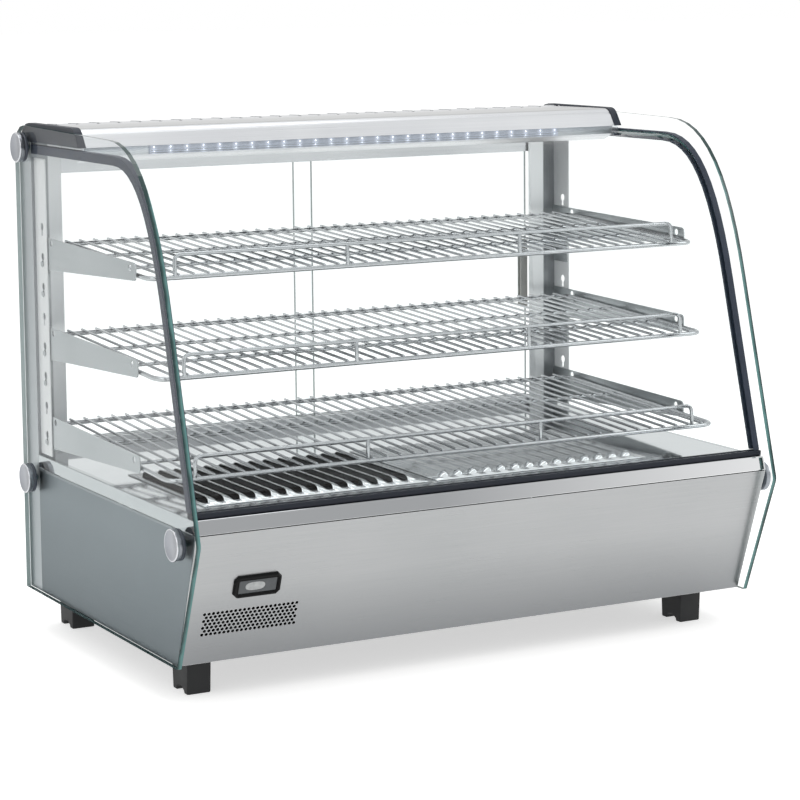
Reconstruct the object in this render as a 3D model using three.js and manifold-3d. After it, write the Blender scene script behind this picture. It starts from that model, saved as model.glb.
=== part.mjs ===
// Countertop heated display case with curved front glass, three wire shelves and sliding rear doors.
// Millimetres, +Z up, the front faces -Y. "Forward" is the distance from the rear edge of the side panes.
import * as THREE from 'three';
import { mergeVertices, mergeGeometries } from 'three/addons/utils/BufferGeometryUtils.js';
import Module from 'manifold-3d';

const wasm = await Module();
wasm.setup();

// Driving dimensions of the whole case
const caseWidth = 836; // over the outer faces of the side panes
const caseDepth = 576; // rear edge of the side panes to their nose
const caseHeight = 686; // floor to the top of the end caps
const footHeight = 50;
const baseHeight = 171; // foot top to the seam under the front rail
const housingHeight = 25;
const seat = 0.3; // clearance between pieces that touch
const overrun = 3; // how far a cutter runs past a face
const weld = 1; // how far fused pieces run into each other

const halfDepth = caseDepth / 2;
const paneThickness = 6;
const paneOuter = caseWidth / 2;
const paneInner = paneOuter - paneThickness;
const insideHalf = paneInner - seat; // outer faces of what stands between the panes
const seamHeight = footHeight + baseHeight;
const housingBottom = caseHeight - housingHeight;

// Side pane outline
const pane = {
  topDrop: 9, // top edge below the end caps where the bend starts
  rearRise: 6.5, // the top edge climbs this much towards the rear
  rearRound: 33,
  bendReach: 174,
  bendDrop: 203,
  leanSetback: 72, // top of the straight lean behind the nose
  noseBelowSeam: 10,
  noseRound: 14,
  bottomSetback: 65,
  lowerPull: 130,
  upperPull: 90,
  bendSteps: 12,
};
const bendTopHeight = caseHeight - pane.topDrop;
const leanTopForward = caseDepth - pane.leanSetback;
const bendTopForward = leanTopForward - pane.bendReach;
const leanTopHeight = bendTopHeight - pane.bendDrop;
const noseHeight = seamHeight - pane.noseBelowSeam;

// Round glass fixings, at three places on each side
const fixing = {
  radius: 20,
  capDepth: 9,
  washerRadius: 18.5,
  washerDepth: 3,
  edgeRound: 1.5,
  boltRadius: 3,
  holeRadius: 3.6,
  boltLength: 14,
  rearForward: 34,
  topBelowHousing: 7,
  frontBehindNose: 48,
  belowSeam: 14,
  sides: 24,
  holeSides: 8,
};
const fixingLow = seamHeight - fixing.belowSeam;
const fixingPlaces = [
  ['rear_top', fixing.rearForward, housingBottom - fixing.topBelowHousing],
  ['rear_low', fixing.rearForward, fixingLow],
  ['front', caseDepth - fixing.frontBehindNose, fixingLow],
];

// Base of folded sheet
const sheet = 1.2;
const base = {
  topSetback: 15.4, // front panel top edge behind the nose
  lean: 61.6, // front panel bottom edge behind its top edge
};
const baseTopForward = caseDepth - base.topSetback;
const baseBottomForward = baseTopForward - base.lean;

// Deck, the cabinet floor, folded down at the front and sides
const deck = {
  rise: 18, // above the seam
  thickness: 1.5,
  rearForward: 4,
  frontSetback: 20,
};
const deckTop = seamHeight + deck.rise;
const deckUnder = deckTop - deck.thickness;
const deckFrontForward = caseDepth - deck.frontSetback;

// Rear posts of folded sheet with a keyholed flange
const post = {
  width: 35,
  depth: 42,
  wall: 2,
  flangeReach: 40,
  flangeWall: 1.5,
  flangeInset: 4.2, // outer face of the flange from the post's outer face
  flangeTopDrop: 21,
  flangeBottomRise: 2,
  webWidth: 45, // of its front face, above the deck
  bend: 23.7, // of that face, from the outer side
  webBack: 6, // inner edge of the face behind its front
  lip: 20,
};
const postInner = insideHalf - post.width;
const postFront = post.depth;
const flangeFront = postFront + post.flangeReach;
const flangeOuter = insideHalf - post.flangeInset;
const flangeInner = flangeOuter - post.flangeWall;

// Front glass and its gaskets
const glass = {
  thickness: 6,
  inset: 21.5, // outer face inside the edge of the side panes
  rearForward: 212,
  intoGasket: 6,
};
const gasket = {
  lip: 2,
  innerLip: 4,
  width: 9,
  rearGap: 3,
  bottomHeight: 6.5,
  bottomSetback: 6, // behind the front edge of the deck
  bottomDepth: 14,
  bottomGroove: 3,
  sealDepth: 8,
};

// Louvred plates: warm air leaves by the left one and goes back down by the right one, its mirror image
const louvre = {
  sideInset: 45.7, // from the inside of the side pane
  width: 316,
  frontSetback: 70, // behind the front of the deck
  depth: 241,
  thickness: 1,
  border: 9,
  slots: 14,
  slotWidth: 11.5,
  slotPitch: 21.3,
  slotLength: 203,
  endShare: 0.98, // how round the slot ends are
  endSteps: 2,
  hood: 7, // rise of the pressed hood over each slot
  hoodSheet: 0.9,
  hoodOverlap: 1, // hood past the slot at its sides and ends
  hoodSteps: 4,
  returnGap: 6, // between the two plates
};
const louvreLeft = louvre.sideInset - insideHalf;
const returnLeft = louvreLeft + louvre.width + louvre.returnGap;
const louvreRear = deckFrontForward - louvre.frontSetback - louvre.depth;
// Shelf brackets and shelves, from the top one down
const bracket = {
  thickness: 1.5,
  firstHole: 157, // top bracket's rear hole, below the top of the end caps
  lastHole: 50, // bottom bracket's rear hole, above the deck
  rise: 7.5,
  tipSetback: 196, // front end, behind the nose of the side panes
  tipDrop: 8, // top edge at the front end, below its rear end
  tip: 22,
  rootDropShare: 0.3667, // underside of the arm at its root below the top edge, of the shelf spacing
  hookDropShare: 0.6833, // lower end of the hook plate, below the top edge
  round: 6,
  rearHole: 52, // from the front of the post
  frontHole: 18, // behind the front end
  frontHoleDrop: 7.5,
  holeRadius: 4.5,
  holeSides: 8,
  rearLug: 60, // from the front of the post
  frontLug: 40, // behind the front end
  lugLength: 12,
  lugReach: 10,
  lugThickness: 1.5,
  studRadius: 2,
  studHead: 4.2,
  studHeadDepth: 1.2,
  studSides: 6,
};
const keyhole = {
  rise: 20, // the free one, above a bracket's rear hole
  pitch: 40, // as near to this as a whole number of them fits between two shelves
  radius: 5.5,
  slotWidth: 5,
  slotLength: 12,
  setback: 16, // centre behind the flange's front edge
  sides: 8,
};
const shelf = {
  frameRadius: 3,
  wireThick: 3.5,
  wireSink: 1.2,
  rearForward: 88,
  frontSetbacks: [168, 146, 118], // front wires behind the nose of the side panes
  names: ['top', 'middle', 'bottom'],
  clearance: 1.2, // side wire to the bracket plate
  drop: 3, // rear wire below the bracket's rear hole
  slopeShare: 0.047,
  cornerRound: 18,
  wires: 39,
  wireTail: 5,
  wireFrontInset: 1,
  guardHeight: 28,
  guardInset: 35, // from the side wires
  guardInnerShare: 0.348,
  guardRound: 9,
  guardRadius: 2.5,
  supportRadius: 2.2,
  supportShares: [0.36, 0.7],
  sides: 6,
  cornerSteps: 3,
};

// Top housing, end caps and light
const housing = {
  rearForward: 3,
  noseForward: 215,
  noseTopBack: 17,
  rearRound: 33,
  noseRound: 18,
  rearInset: 3, // the housing inside the end caps at the rear
  frontInset: 1,
  wall: 2,
  slotPairs: 27,
  slotEnd: 10.4, // first pair from the end of the housing
  slotLength: 17,
  slotWidth: 4,
  slotSkew: 8,
  slotRearForward: 38,
  slotRowGap: 4,
  slotDepth: 8,
};
const capThickness = 11;
const lamp = {
  rearForward: 186,
  depth: 20,
  drop: 20,
  frontHeight: 11.5,
  wall: 1.6,
  boardDrop: 0.4, // upper edge of the board below the profile's
  boardHeight: 11,
  boardThickness: 1.4,
  boardInset: 92.1, // from the end of the profile
  chip: 3,
  chipDepth: 1,
  chipDrop: 2.2, // below the board's upper edge
  chips: 27,
  chipEnd: 6.1, // first chip from the end of the board
};

// Sliding rear doors and their tracks
const door = {
  thickness: 5,
  innerForward: 20,
  outerForward: 9,
  side: 2.5, // outer edge to the post
  leftMeets: 15, // right edge of the left door
  rightMeets: -8, // left edge of the right door
  pullWall: 1.5,
  pullWidth: 12,
  pullLength: 100,
};
const track = {
  rearForward: 4,
  depth: 27,
  sillHeight: 13,
  headerHeight: 44,
  grooveClearance: 1,
  sillGroove: 9,
  headerGroove: 20,
  lift: 7, // room above a door, to lift it out
};
const sillTop = deckTop + seat + track.sillHeight;
const headerUnder = housingBottom - seat - track.headerHeight;

// Heater box, heater, fan
const heaterBox = {
  depth: 62,
  wall: 1,
  flange: 7,
};
const heater = {
  radius: 4,
  runs: 4,
  runPitch: 46,
  below: 30, // under the box's rim
  endInset: 34,
  tail: 12,
  bendShare: 0.46, // of the pitch
  bendSteps: 3,
  sides: 6,
};
const fan = {
  size: 119,
  height: 25,
  bore: 56,
  hubRadius: 20,
  hubHeight: 7,
  shaftRadius: 3,
  shaftHeight: 12,
  strutWidth: 6,
  strutHeight: 3,
  impellerRadius: 53,
  impellerHub: 19,
  impellerHeight: 15,
  capThickness: 3,
  blades: 7,
  bladeThickness: 1.6,
  bladePitchDegrees: 35,
  bladeChord: 18,
  bladeRoot: 2,
  sides: 20,
};

// Rear controls and the electrics in the base
const rear = {
  panelForward: 22,
  controlHeight: 88, // above the base floor
  knobInset: 126.7, // from the right post
  switchInset: 206.7,
  glandInset: 66.7,
  glandHeight: 30,
  ventInset: 146.7, // from the left post
  ventHeight: 50,
  ventSlots: 9,
  ventPitch: 14,
  ventLength: 60,
  ventWidth: 5,
};
const knob = {
  radius: 19,
  gripRadius: 16,
  skirt: 4,
  depth: 15,
  pointerWidth: 2.4,
  pointerDepth: 1,
  flutes: 14,
  fluteDepth: 1.2,
};
const thermostat = {
  radius: 18,
  depth: 26,
  shaftRadius: 3,
  shaftLength: 8,
  tabWidth: 30,
  tabHeight: 8,
  tabDepth: 7,
  sides: 20,
};
const rocker = {
  width: 16,
  half: 10.5,
  rim: 3.2,
  dish: 1.4,
  root: 4,
  pivotDepth: 1.5, // below the bezel's face
  tiltDegrees: 6,
  clearance: 1,
  bezelWidth: 50,
  bezelHeight: 30,
  bezelDepth: 3,
  divider: 6,
  bodyInset: 3,
  bodyDepth: 24,
  pocket: 9,
};
const gland = {
  bore: 4.5,
  thread: 8,
  head: 12.5,
  headDepth: 12,
  nut: 12,
  nutDepth: 5,
  sides: 12,
};
const terminals = { inset: 161.7, forward: 70, length: 66, width: 22, height: 18, ways: 6, groove: 2, grooveDepth: 5 };
const driver = { inset: 316.7, forward: 70, length: 120, width: 42, height: 28, lip: 8, lipHeight: 3 };

// Thermometer and air intake on the front panel
const thermometer = {
  inset: 90.7, // from the inside of the left side pane
  up: 104, // centre above the panel's lower edge, along the panel
  width: 63,
  height: 30,
  proud: 4,
  corner: 5.5,
  bodyWidth: 54,
  bodyHeight: 23,
  bodyDepth: 24,
};
const intake = {
  inset: 87.7,
  up: 56,
  columns: 22,
  rows: 7,
  pitch: 5.87,
  rowPitch: 4.8,
  hole: 2,
  sides: 6,
};
const foot = {
  width: 32,
  length: 49,
  taper: 3,
  archWidth: 24,
  archHeight: 8,
  sideInset: 37.4, // from the outer face of the side pane
  frontSetback: 118.6, // behind the nose of the side panes
  rearForward: 74.8,
  archSteps: 6,
};

// Places across the case that follow its width
const knobX = postInner - rear.knobInset;
const switchX = postInner - rear.switchInset;
const glandX = postInner - rear.glandInset;
const ventX = rear.ventInset - postInner;
const terminalsX = postInner - terminals.inset;
const driverX = postInner - driver.inset;
const thermometerX = thermometer.inset - insideHalf;
const intakeX = intake.inset - insideHalf;

// Builders of plain solids. The place of a point in a profile is [forward, height].
const back = (forward) => halfDepth - forward;

function shapeOf(points) {
  return new THREE.Shape(points.map(([a, b]) => new THREE.Vector2(a, b)));
}

function extrude(shape, depth) {
  return new THREE.ExtrudeGeometry(shape, { depth, bevelEnabled: false, curveSegments: 8 });
}

function acrossX(points, x0, x1) {
  const geometry = extrude(shapeOf(points.map(([f, z]) => [back(f), z])), x1 - x0);
  const turn = new THREE.Matrix4().makeBasis(
    new THREE.Vector3(0, 1, 0),
    new THREE.Vector3(0, 0, 1),
    new THREE.Vector3(1, 0, 0),
  );
  return geometry.applyMatrix4(turn).translate(x0, 0, 0);
}

function upZ(points, z0, z1) {
  return extrude(shapeOf(points.map(([x, f]) => [x, back(f)])), z1 - z0).translate(0, 0, z0);
}

function alongForward(points, f0, f1) {
  const geometry = extrude(shapeOf(points), f1 - f0);
  const turn = new THREE.Matrix4().makeBasis(
    new THREE.Vector3(1, 0, 0),
    new THREE.Vector3(0, 0, 1),
    new THREE.Vector3(0, -1, 0),
  );
  return geometry.applyMatrix4(turn).translate(0, back(f0), 0);
}

function block(x0, x1, f0, f1, z0, z1) {
  const geometry = new THREE.BoxGeometry(x1 - x0, f1 - f0, z1 - z0);
  return geometry.translate((x0 + x1) / 2, back((f0 + f1) / 2), (z0 + z1) / 2);
}

function rectangle(a0, a1, b0, b1) {
  return [[a0, b0], [a1, b0], [a1, b1], [a0, b1]];
}

function ring(a, b, radius, sides) {
  return Array.from({ length: sides }, (_, i) => {
    const angle = ((i + 0.5) / sides) * Math.PI * 2;
    return [a + radius * Math.cos(angle), b + radius * Math.sin(angle)];
  });
}

// A polygon whose corners [a, b, radius] are rounded by short arcs
function rounded(corners, steps = 4) {
  const outline = [];
  corners.forEach(([a, b, radius], i) => {
    const corner = new THREE.Vector2(a, b);
    if (!radius) {
      outline.push([a, b]);
      return;
    }
    const before = corners[(i + corners.length - 1) % corners.length];
    const after = corners[(i + 1) % corners.length];
    const toBefore = new THREE.Vector2(before[0], before[1]).sub(corner).normalize();
    const toAfter = new THREE.Vector2(after[0], after[1]).sub(corner).normalize();
    const half = Math.acos(THREE.MathUtils.clamp(toBefore.dot(toAfter), -1, 1)) / 2;
    const reach = radius / Math.tan(half);
    const start = corner.clone().addScaledVector(toBefore, reach);
    const end = corner.clone().addScaledVector(toAfter, reach);
    const middle = toBefore.clone().add(toAfter).normalize();
    const centre = corner.clone().addScaledVector(middle, radius / Math.sin(half));
    const from = start.clone().sub(centre).angle();
    let sweep = end.clone().sub(centre).angle() - from;
    sweep = Math.atan2(Math.sin(sweep), Math.cos(sweep));
    for (let k = 0; k <= steps; k += 1) {
      const angle = from + (sweep * k) / steps;
      outline.push([centre.x + radius * Math.cos(angle), centre.y + radius * Math.sin(angle)]);
    }
  });
  return outline;
}

// A straight round bar between two points
function bar(from, to, radius, sides) {
  const start = new THREE.Vector3(...from);
  const along = new THREE.Vector3(...to).sub(start);
  const geometry = new THREE.CylinderGeometry(radius, radius, along.length(), sides);
  geometry.translate(0, along.length() / 2, 0);
  const turn = new THREE.Quaternion().setFromUnitVectors(new THREE.Vector3(0, 1, 0), along.normalize());
  return geometry.applyQuaternion(turn).translate(start.x, start.y, start.z);
}

// A bent wire through given points, whose sections stand on those points
class WirePath extends THREE.Curve {
  constructor(points) {
    super();
    this.points = points;
  }

  getPoint(t) {
    const place = Math.min(Math.max(t, 0), 1) * (this.points.length - 1);
    const index = Math.min(Math.floor(place), this.points.length - 2);
    return this.points[index].clone().lerp(this.points[index + 1], place - index);
  }

  getUtoTmapping(u) {
    return u;
  }
}

function bentWire(points, radius, sides) {
  const section = shapeOf(ring(0, 0, radius, sides));
  const path = new WirePath(points);
  return new THREE.ExtrudeGeometry(section, { steps: points.length - 1, extrudePath: path });
}

// Points of a wire whose inner corners are bent round
function bends(corners, radius, steps) {
  const points = [new THREE.Vector3(...corners[0])];
  for (let i = 1; i < corners.length - 1; i += 1) {
    const corner = new THREE.Vector3(...corners[i]);
    const toBefore = new THREE.Vector3(...corners[i - 1]).sub(corner).normalize();
    const toAfter = new THREE.Vector3(...corners[i + 1]).sub(corner).normalize();
    const start = corner.clone().addScaledVector(toBefore, radius);
    const end = corner.clone().addScaledVector(toAfter, radius);
    const bend = new THREE.QuadraticBezierCurve3(start, corner, end);
    points.push(...bend.getPoints(steps));
  }
  points.push(new THREE.Vector3(...corners[corners.length - 1]));
  return points;
}

// Joining and cutting
function bare(geometry) {
  const copy = geometry.index ? geometry.toNonIndexed() : geometry.clone();
  copy.deleteAttribute('normal');
  copy.deleteAttribute('uv');
  return copy;
}

function solidOf(geometries) {
  const merged = mergeVertices(mergeGeometries([geometries].flat().map(bare)));
  const vertProperties = new Float32Array(merged.attributes.position.array);
  const triVerts = new Uint32Array(merged.index.array);
  return new wasm.Manifold(new wasm.Mesh({ numProp: 3, vertProperties, triVerts }));
}

function geometryOf(solid) {
  const mesh = solid.getMesh();
  const geometry = new THREE.BufferGeometry();
  geometry.setAttribute('position', new THREE.BufferAttribute(mesh.vertProperties, 3));
  geometry.setIndex(new THREE.BufferAttribute(mesh.triVerts, 1));
  geometry.computeVertexNormals();
  return geometry;
}

// Each argument after the first is a geometry, or a list of geometries that don't touch each other
function join(first, ...others) {
  return geometryOf(others.reduce((sum, next) => sum.add(solidOf(next)), solidOf(first)));
}

function cut(first, ...cutters) {
  return geometryOf(cutters.reduce((rest, next) => rest.subtract(solidOf(next)), solidOf(first)));
}

// Materials
function finish(color, roughness, metalness, opacity = 1) {
  return new THREE.MeshStandardMaterial({ color, roughness, metalness, opacity, transparent: opacity < 1 });
}
const paint = {
  glass: finish(0xdcebe8, 0.04, 0, 0.25),
  steel: finish(0xc6c8ca, 0.34, 1),
  polished: finish(0xdadcdd, 0.1, 1),
  plated: finish(0xd4d6d8, 0.12, 1),
  aluminium: finish(0xd0d2d4, 0.3, 1),
  rubber: finish(0x2f3540, 0.7, 0),
  dark: finish(0x3b424b, 0.5, 0),
  black: finish(0x16181a, 0.45, 0),
  brass: finish(0x9a9c9e, 0.5, 1),
  light: finish(0xf4f8ff, 0.4, 0),
  white: finish(0xd8d8d4, 0.6, 0),
};

const group = new THREE.Group();
function add(name, geometry, material) {
  const mesh = new THREE.Mesh(geometry, material);
  mesh.name = name;
  group.add(mesh);
}

// The edge line that the side panes and the front glass share: level top, bend, straight lean
function edgeLine() {
  const top = new THREE.Vector2(bendTopForward, bendTopHeight);
  const low = new THREE.Vector2(leanTopForward, leanTopHeight);
  const nose = new THREE.Vector2(caseDepth, noseHeight);
  const up = low.clone().sub(nose).normalize();
  const bend = new THREE.CubicBezierCurve(
    top,
    new THREE.Vector2(bendTopForward + pane.upperPull, bendTopHeight),
    low.clone().addScaledVector(up, pane.lowerPull),
    low,
  );
  return [new THREE.Vector2(0, bendTopHeight), ...bend.getPoints(pane.bendSteps), nose];
}

// The edge line moved inwards, from a given forward place down to a given height
function insetLine(inset, startForward, endHeight) {
  const line = edgeLine();
  const moved = line.map((point, i) => {
    const ahead = line[Math.min(i + 1, line.length - 1)].clone().sub(line[Math.min(i, line.length - 2)]);
    const behind = point.clone().sub(line[Math.max(i - 1, 0)]);
    const along = ahead.normalize().add(behind.normalize()).normalize();
    return [point.x + along.y * inset, point.y - along.x * inset];
  });
  moved[0] = [startForward, moved[1][1]];
  const last = moved.length - 1;
  const share = (endHeight - moved[last - 1][1]) / (moved[last][1] - moved[last - 1][1]);
  moved[last] = [moved[last - 1][0] + share * (moved[last][0] - moved[last - 1][0]), endHeight];
  return moved;
}

function bandOutline(outer, inner, startForward, endHeight) {
  return [...insetLine(outer, startForward, endHeight), ...insetLine(inner, startForward, endHeight).reverse()];
}

// Side panes
function sidePane(side) {
  const edge = edgeLine().slice(1, -1).map((point) => [point.x, point.y, 0]);
  const outline = rounded([
    [0, footHeight, weld],
    [0, bendTopHeight + pane.rearRise, pane.rearRound],
    ...edge,
    [caseDepth, noseHeight, pane.noseRound],
    [caseDepth - pane.bottomSetback, footHeight, weld],
  ]);
  const x0 = side > 0 ? paneInner : -paneOuter;
  const plate = acrossX(outline, x0, x0 + paneThickness);
  const holes = fixingPlaces.map(([, forward, height]) =>
    acrossX(ring(forward, height, fixing.holeRadius, fixing.holeSides), x0 - overrun, x0 + paneThickness + overrun));
  return cut(plate, holes);
}
add('left_side_glass', sidePane(-1), paint.glass);
add('right_side_glass', sidePane(1), paint.glass);

// Fixing: domed cap, dark washer and bolt in one, turned about X
function glassFixing(side, forward, height) {
  const bolt = fixing.boltLength + seat;
  const washerTop = seat + fixing.washerDepth;
  const top = washerTop + fixing.capDepth;
  const profile = [
    [0, -bolt],
    [fixing.boltRadius, -bolt],
    [fixing.boltRadius, seat],
    [fixing.washerRadius, seat],
    [fixing.washerRadius, washerTop],
    [fixing.radius, washerTop],
    [fixing.radius, top - fixing.edgeRound],
    [fixing.radius - fixing.edgeRound, top],
    [0, top],
  ];
  const turned = new THREE.LatheGeometry(profile.map(([r, h]) => new THREE.Vector2(r, h)), fixing.sides);
  return geometryOf(solidOf(turned.rotateZ((-side * Math.PI) / 2).translate(side * paneOuter, back(forward), height)));
}
for (const [side, word] of [[-1, 'left'], [1, 'right']]) {
  for (const [place, forward, height] of fixingPlaces) {
    add(`${word}_${place}_fixing`, glassFixing(side, forward, height), paint.aluminium);
  }
}

// Curved front glass and its gaskets
const gasketTop = deckTop + seat + gasket.bottomHeight;
const glassBottom = gasketTop - gasket.bottomGroove + seat;
const gasketInnerX = insideHalf - gasket.width;
const glassHalf = gasketInnerX + glass.intoGasket;
const glassInner = glass.inset + glass.thickness;
const glassOutline = bandOutline(glass.inset, glassInner, glass.rearForward, glassBottom);
add('front_glass', acrossX(glassOutline, -glassHalf, glassHalf), paint.glass);

// The stretch between two distances from the middle plane, on one side of the case
function span(side, near, far) {
  return side > 0 ? [near, far] : [-far, -near];
}

function sideGasket(side) {
  const inner = glassInner + gasket.innerLip;
  const outline = bandOutline(glass.inset - gasket.lip, inner, postFront + gasket.rearGap, gasketTop + seat);
  const groove = bandOutline(glass.inset - seat, glassInner + seat, glass.rearForward - seat, deckTop);
  const strip = acrossX(outline, ...span(side, gasketInnerX, insideHalf));
  const channel = acrossX(groove, ...span(side, gasketInnerX - overrun, glassHalf + seat));
  return cut(strip, channel);
}
add('left_glass_gasket', sideGasket(-1), paint.rubber);
add('right_glass_gasket', sideGasket(1), paint.rubber);

function bottomGasket() {
  const front = deckFrontForward - gasket.bottomSetback;
  const strip = block(-insideHalf, insideHalf, front - gasket.bottomDepth, front, deckTop + seat, gasketTop);
  const groove = bandOutline(glass.inset - seat, glassInner + seat, glass.rearForward, glassBottom - seat);
  return cut(strip, acrossX(groove, -glassHalf - seat, glassHalf + seat));
}
add('bottom_glass_gasket', bottomGasket(), paint.rubber);

const lightHalf = gasketInnerX - seat;
const glassTop = bendTopHeight - glass.inset;
const sealFront = glass.rearForward + gasket.sealDepth;
const topSeal = block(-lightHalf, lightHalf, glass.rearForward, sealFront, glassTop + seat, housingBottom - seat);
add('glass_top_seal', topSeal, paint.white);

// Base: the front panel leans, so its height at a place follows its slope
const frontLean = Math.atan2(base.lean, baseHeight);
const frontAt = (height) => baseBottomForward + ((height - footHeight) * base.lean) / baseHeight;
const baseFloorUnder = footHeight + seat;
const baseFloorTop = baseFloorUnder + sheet;
const panelBack = (height) => frontAt(height) - sheet / Math.cos(frontLean) - seat;

// Turns a shape drawn on the front panel, [across, up, out], into place
function onFrontPanel(geometry) {
  const turn = new THREE.Matrix4().makeBasis(
    new THREE.Vector3(1, 0, 0),
    new THREE.Vector3(0, -Math.sin(frontLean), Math.cos(frontLean)),
    new THREE.Vector3(0, -Math.cos(frontLean), -Math.sin(frontLean)),
  );
  turn.setPosition(0, back(frontAt(baseFloorUnder)), baseFloorUnder);
  return geometry.applyMatrix4(turn);
}

function intakeHoles() {
  const holes = [];
  for (let row = 0; row < intake.rows; row += 1) {
    const count = intake.columns - (row % 2);
    const up = intake.up + (row - (intake.rows - 1) / 2) * intake.rowPitch;
    for (let column = 0; column < count; column += 1) {
      const across = intakeX + (column - (count - 1) / 2) * intake.pitch;
      holes.push(ring(across, up, intake.hole, intake.sides));
    }
  }
  return holes;
}

function frontPanel() {
  const length = (baseHeight - 3 * seat) / Math.cos(frontLean);
  const halfWidth = thermometer.bodyWidth / 2 + seat;
  const halfHeight = thermometer.bodyHeight / 2 + seat;
  const window = rectangle(
    thermometerX - halfWidth,
    thermometerX + halfWidth,
    thermometer.up - halfHeight,
    thermometer.up + halfHeight,
  );
  const cutters = [window, ...intakeHoles()].map((points) =>
    extrude(shapeOf(points), sheet + 2 * overrun).translate(0, 0, -sheet - overrun));
  const plate = extrude(shapeOf(rectangle(-insideHalf, insideHalf, 0, length)), sheet).translate(0, 0, -sheet);
  return onFrontPanel(cut(plate, cutters));
}
add('base_front_panel', frontPanel(), paint.steel);

function baseSidePanel(side) {
  const rearEdge = postFront + seat;
  const outline = [
    [rearEdge, baseFloorUnder],
    [panelBack(baseFloorUnder), baseFloorUnder],
    [panelBack(seamHeight), seamHeight],
    [rearEdge, seamHeight],
  ];
  const bolt = ring(caseDepth - fixing.frontBehindNose, fixingLow, fixing.holeRadius, fixing.holeSides);
  const plate = acrossX(outline, ...span(side, insideHalf - sheet, insideHalf));
  return cut(plate, acrossX(bolt, ...span(side, insideHalf - sheet - overrun, insideHalf + overrun)));
}
add('base_left_panel', baseSidePanel(-1), paint.steel);
add('base_right_panel', baseSidePanel(1), paint.steel);

function baseFloor() {
  const narrow = postInner - seat;
  const wide = insideHalf - sheet - seat;
  const notch = postFront + seat;
  const front = panelBack(baseFloorUnder);
  const outline = [
    [-narrow, rear.panelForward],
    [narrow, rear.panelForward],
    [narrow, notch],
    [wide, notch],
    [wide, front],
    [-wide, front],
    [-wide, notch],
    [-narrow, notch],
  ];
  return upZ(outline, baseFloorUnder, baseFloorTop);
}
add('base_floor', baseFloor(), paint.steel);

const controlHeight = baseFloorTop + rear.controlHeight;
const glandHeight = baseFloorTop + rear.glandHeight;
const switchHalfWidth = rocker.bezelWidth / 2 - rocker.bodyInset;
const switchHalfHeight = rocker.bezelHeight / 2 - rocker.bodyInset;

function rearPanel() {
  const half = postInner - seat;
  const front = rear.panelForward + sheet;
  const plate = block(-half, half, rear.panelForward, front, baseFloorTop + seat, deckUnder - seat);
  const through = [rear.panelForward - overrun, front + overrun];
  const x0 = switchX - switchHalfWidth - seat;
  const x1 = switchX + switchHalfWidth + seat;
  const z0 = controlHeight - switchHalfHeight - seat;
  const z1 = controlHeight + switchHalfHeight + seat;
  const cutters = [
    block(x0, x1, ...through, z0, z1),
    alongForward(ring(knobX, controlHeight, thermostat.shaftRadius + seat, thermostat.sides), ...through),
    alongForward(ring(glandX, glandHeight, gland.thread + seat, gland.sides), ...through),
  ];
  for (let i = 0; i < rear.ventSlots; i += 1) {
    const x = ventX + (i - (rear.ventSlots - 1) / 2) * rear.ventPitch;
    const low = baseFloorTop + rear.ventHeight;
    cutters.push(block(x - rear.ventWidth / 2, x + rear.ventWidth / 2, ...through, low, low + rear.ventLength));
  }
  return cut(plate, cutters);
}
add('base_rear_panel', rearPanel(), paint.steel);

// Deck with an opening under each louvred plate
const holeUnder = (plateLeft) => ({
  x0: plateLeft + louvre.border,
  x1: plateLeft + louvre.width - louvre.border,
  f0: louvreRear + louvre.border,
  f1: louvreRear + louvre.depth - louvre.border,
});
const louvreHole = holeUnder(louvreLeft);

function deckPlate() {
  const t = deck.thickness;
  const foldBottom = seamHeight + seat;
  const foldLean = (baseTopForward - deckFrontForward) / (deckUnder - foldBottom);
  const outer = [
    [deck.rearForward, foldBottom],
    [deck.rearForward, deckTop],
    [deckFrontForward - t, deckTop],
    [deckFrontForward, deckTop - t],
    [baseTopForward, foldBottom],
  ];
  const inner = [
    [deck.rearForward - overrun, foldBottom - overrun],
    [deck.rearForward - overrun, deckUnder],
    [deckFrontForward - t, deckUnder],
    [baseTopForward - t + foldLean * overrun, foldBottom - overrun],
  ];
  const notches = [-1, 1].map((side) => block(
    ...span(side, postInner - seat, insideHalf + overrun),
    deck.rearForward - overrun,
    postFront + seat,
    foldBottom - overrun,
    deckTop + overrun,
  ));
  const holes = [louvreHole, holeUnder(returnLeft)].map(({ x0, x1, f0, f1 }) =>
    block(x0, x1, f0, f1, deckUnder - overrun, deckTop + overrun));
  return cut(
    acrossX(outer, -insideHalf, insideHalf),
    acrossX(inner, t - insideHalf, insideHalf - t),
    notches,
    holes,
  );
}
add('deck', deckPlate(), paint.polished);

// Each slot has a hood pressed up over it, joined at its right side and both ends and open to the left
function louvreHoods(centreX, centre, top) {
  const half = louvre.slotWidth / 2 + louvre.hoodOverlap;
  const reach = louvre.slotLength / 2 + louvre.hoodOverlap;
  const t = louvre.hoodSheet;
  const skins = [];
  const rearWalls = [];
  const frontWalls = [];
  for (let i = 0; i < louvre.slots; i += 1) {
    const x = centreX + (i - (louvre.slots - 1) / 2) * louvre.slotPitch;
    const arc = Array.from({ length: louvre.hoodSteps + 1 }, (_, k) => {
      const angle = ((k / louvre.hoodSteps) * Math.PI) / 2;
      return [x + half - (2 * half * k) / louvre.hoodSteps, top + louvre.hood * Math.sin(angle)];
    });
    const under = arc.map(([a, z]) => [a, z - t]).reverse();
    const wall = [...arc, [x - half, top - t / 2], [x + half, top - t / 2]];
    skins.push(alongForward([...arc, ...under], centre - reach, centre + reach));
    rearWalls.push(alongForward(wall, centre - reach, centre - reach + t));
    frontWalls.push(alongForward(wall, centre + reach - t, centre + reach));
  }
  return [skins, rearWalls, frontWalls];
}

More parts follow.
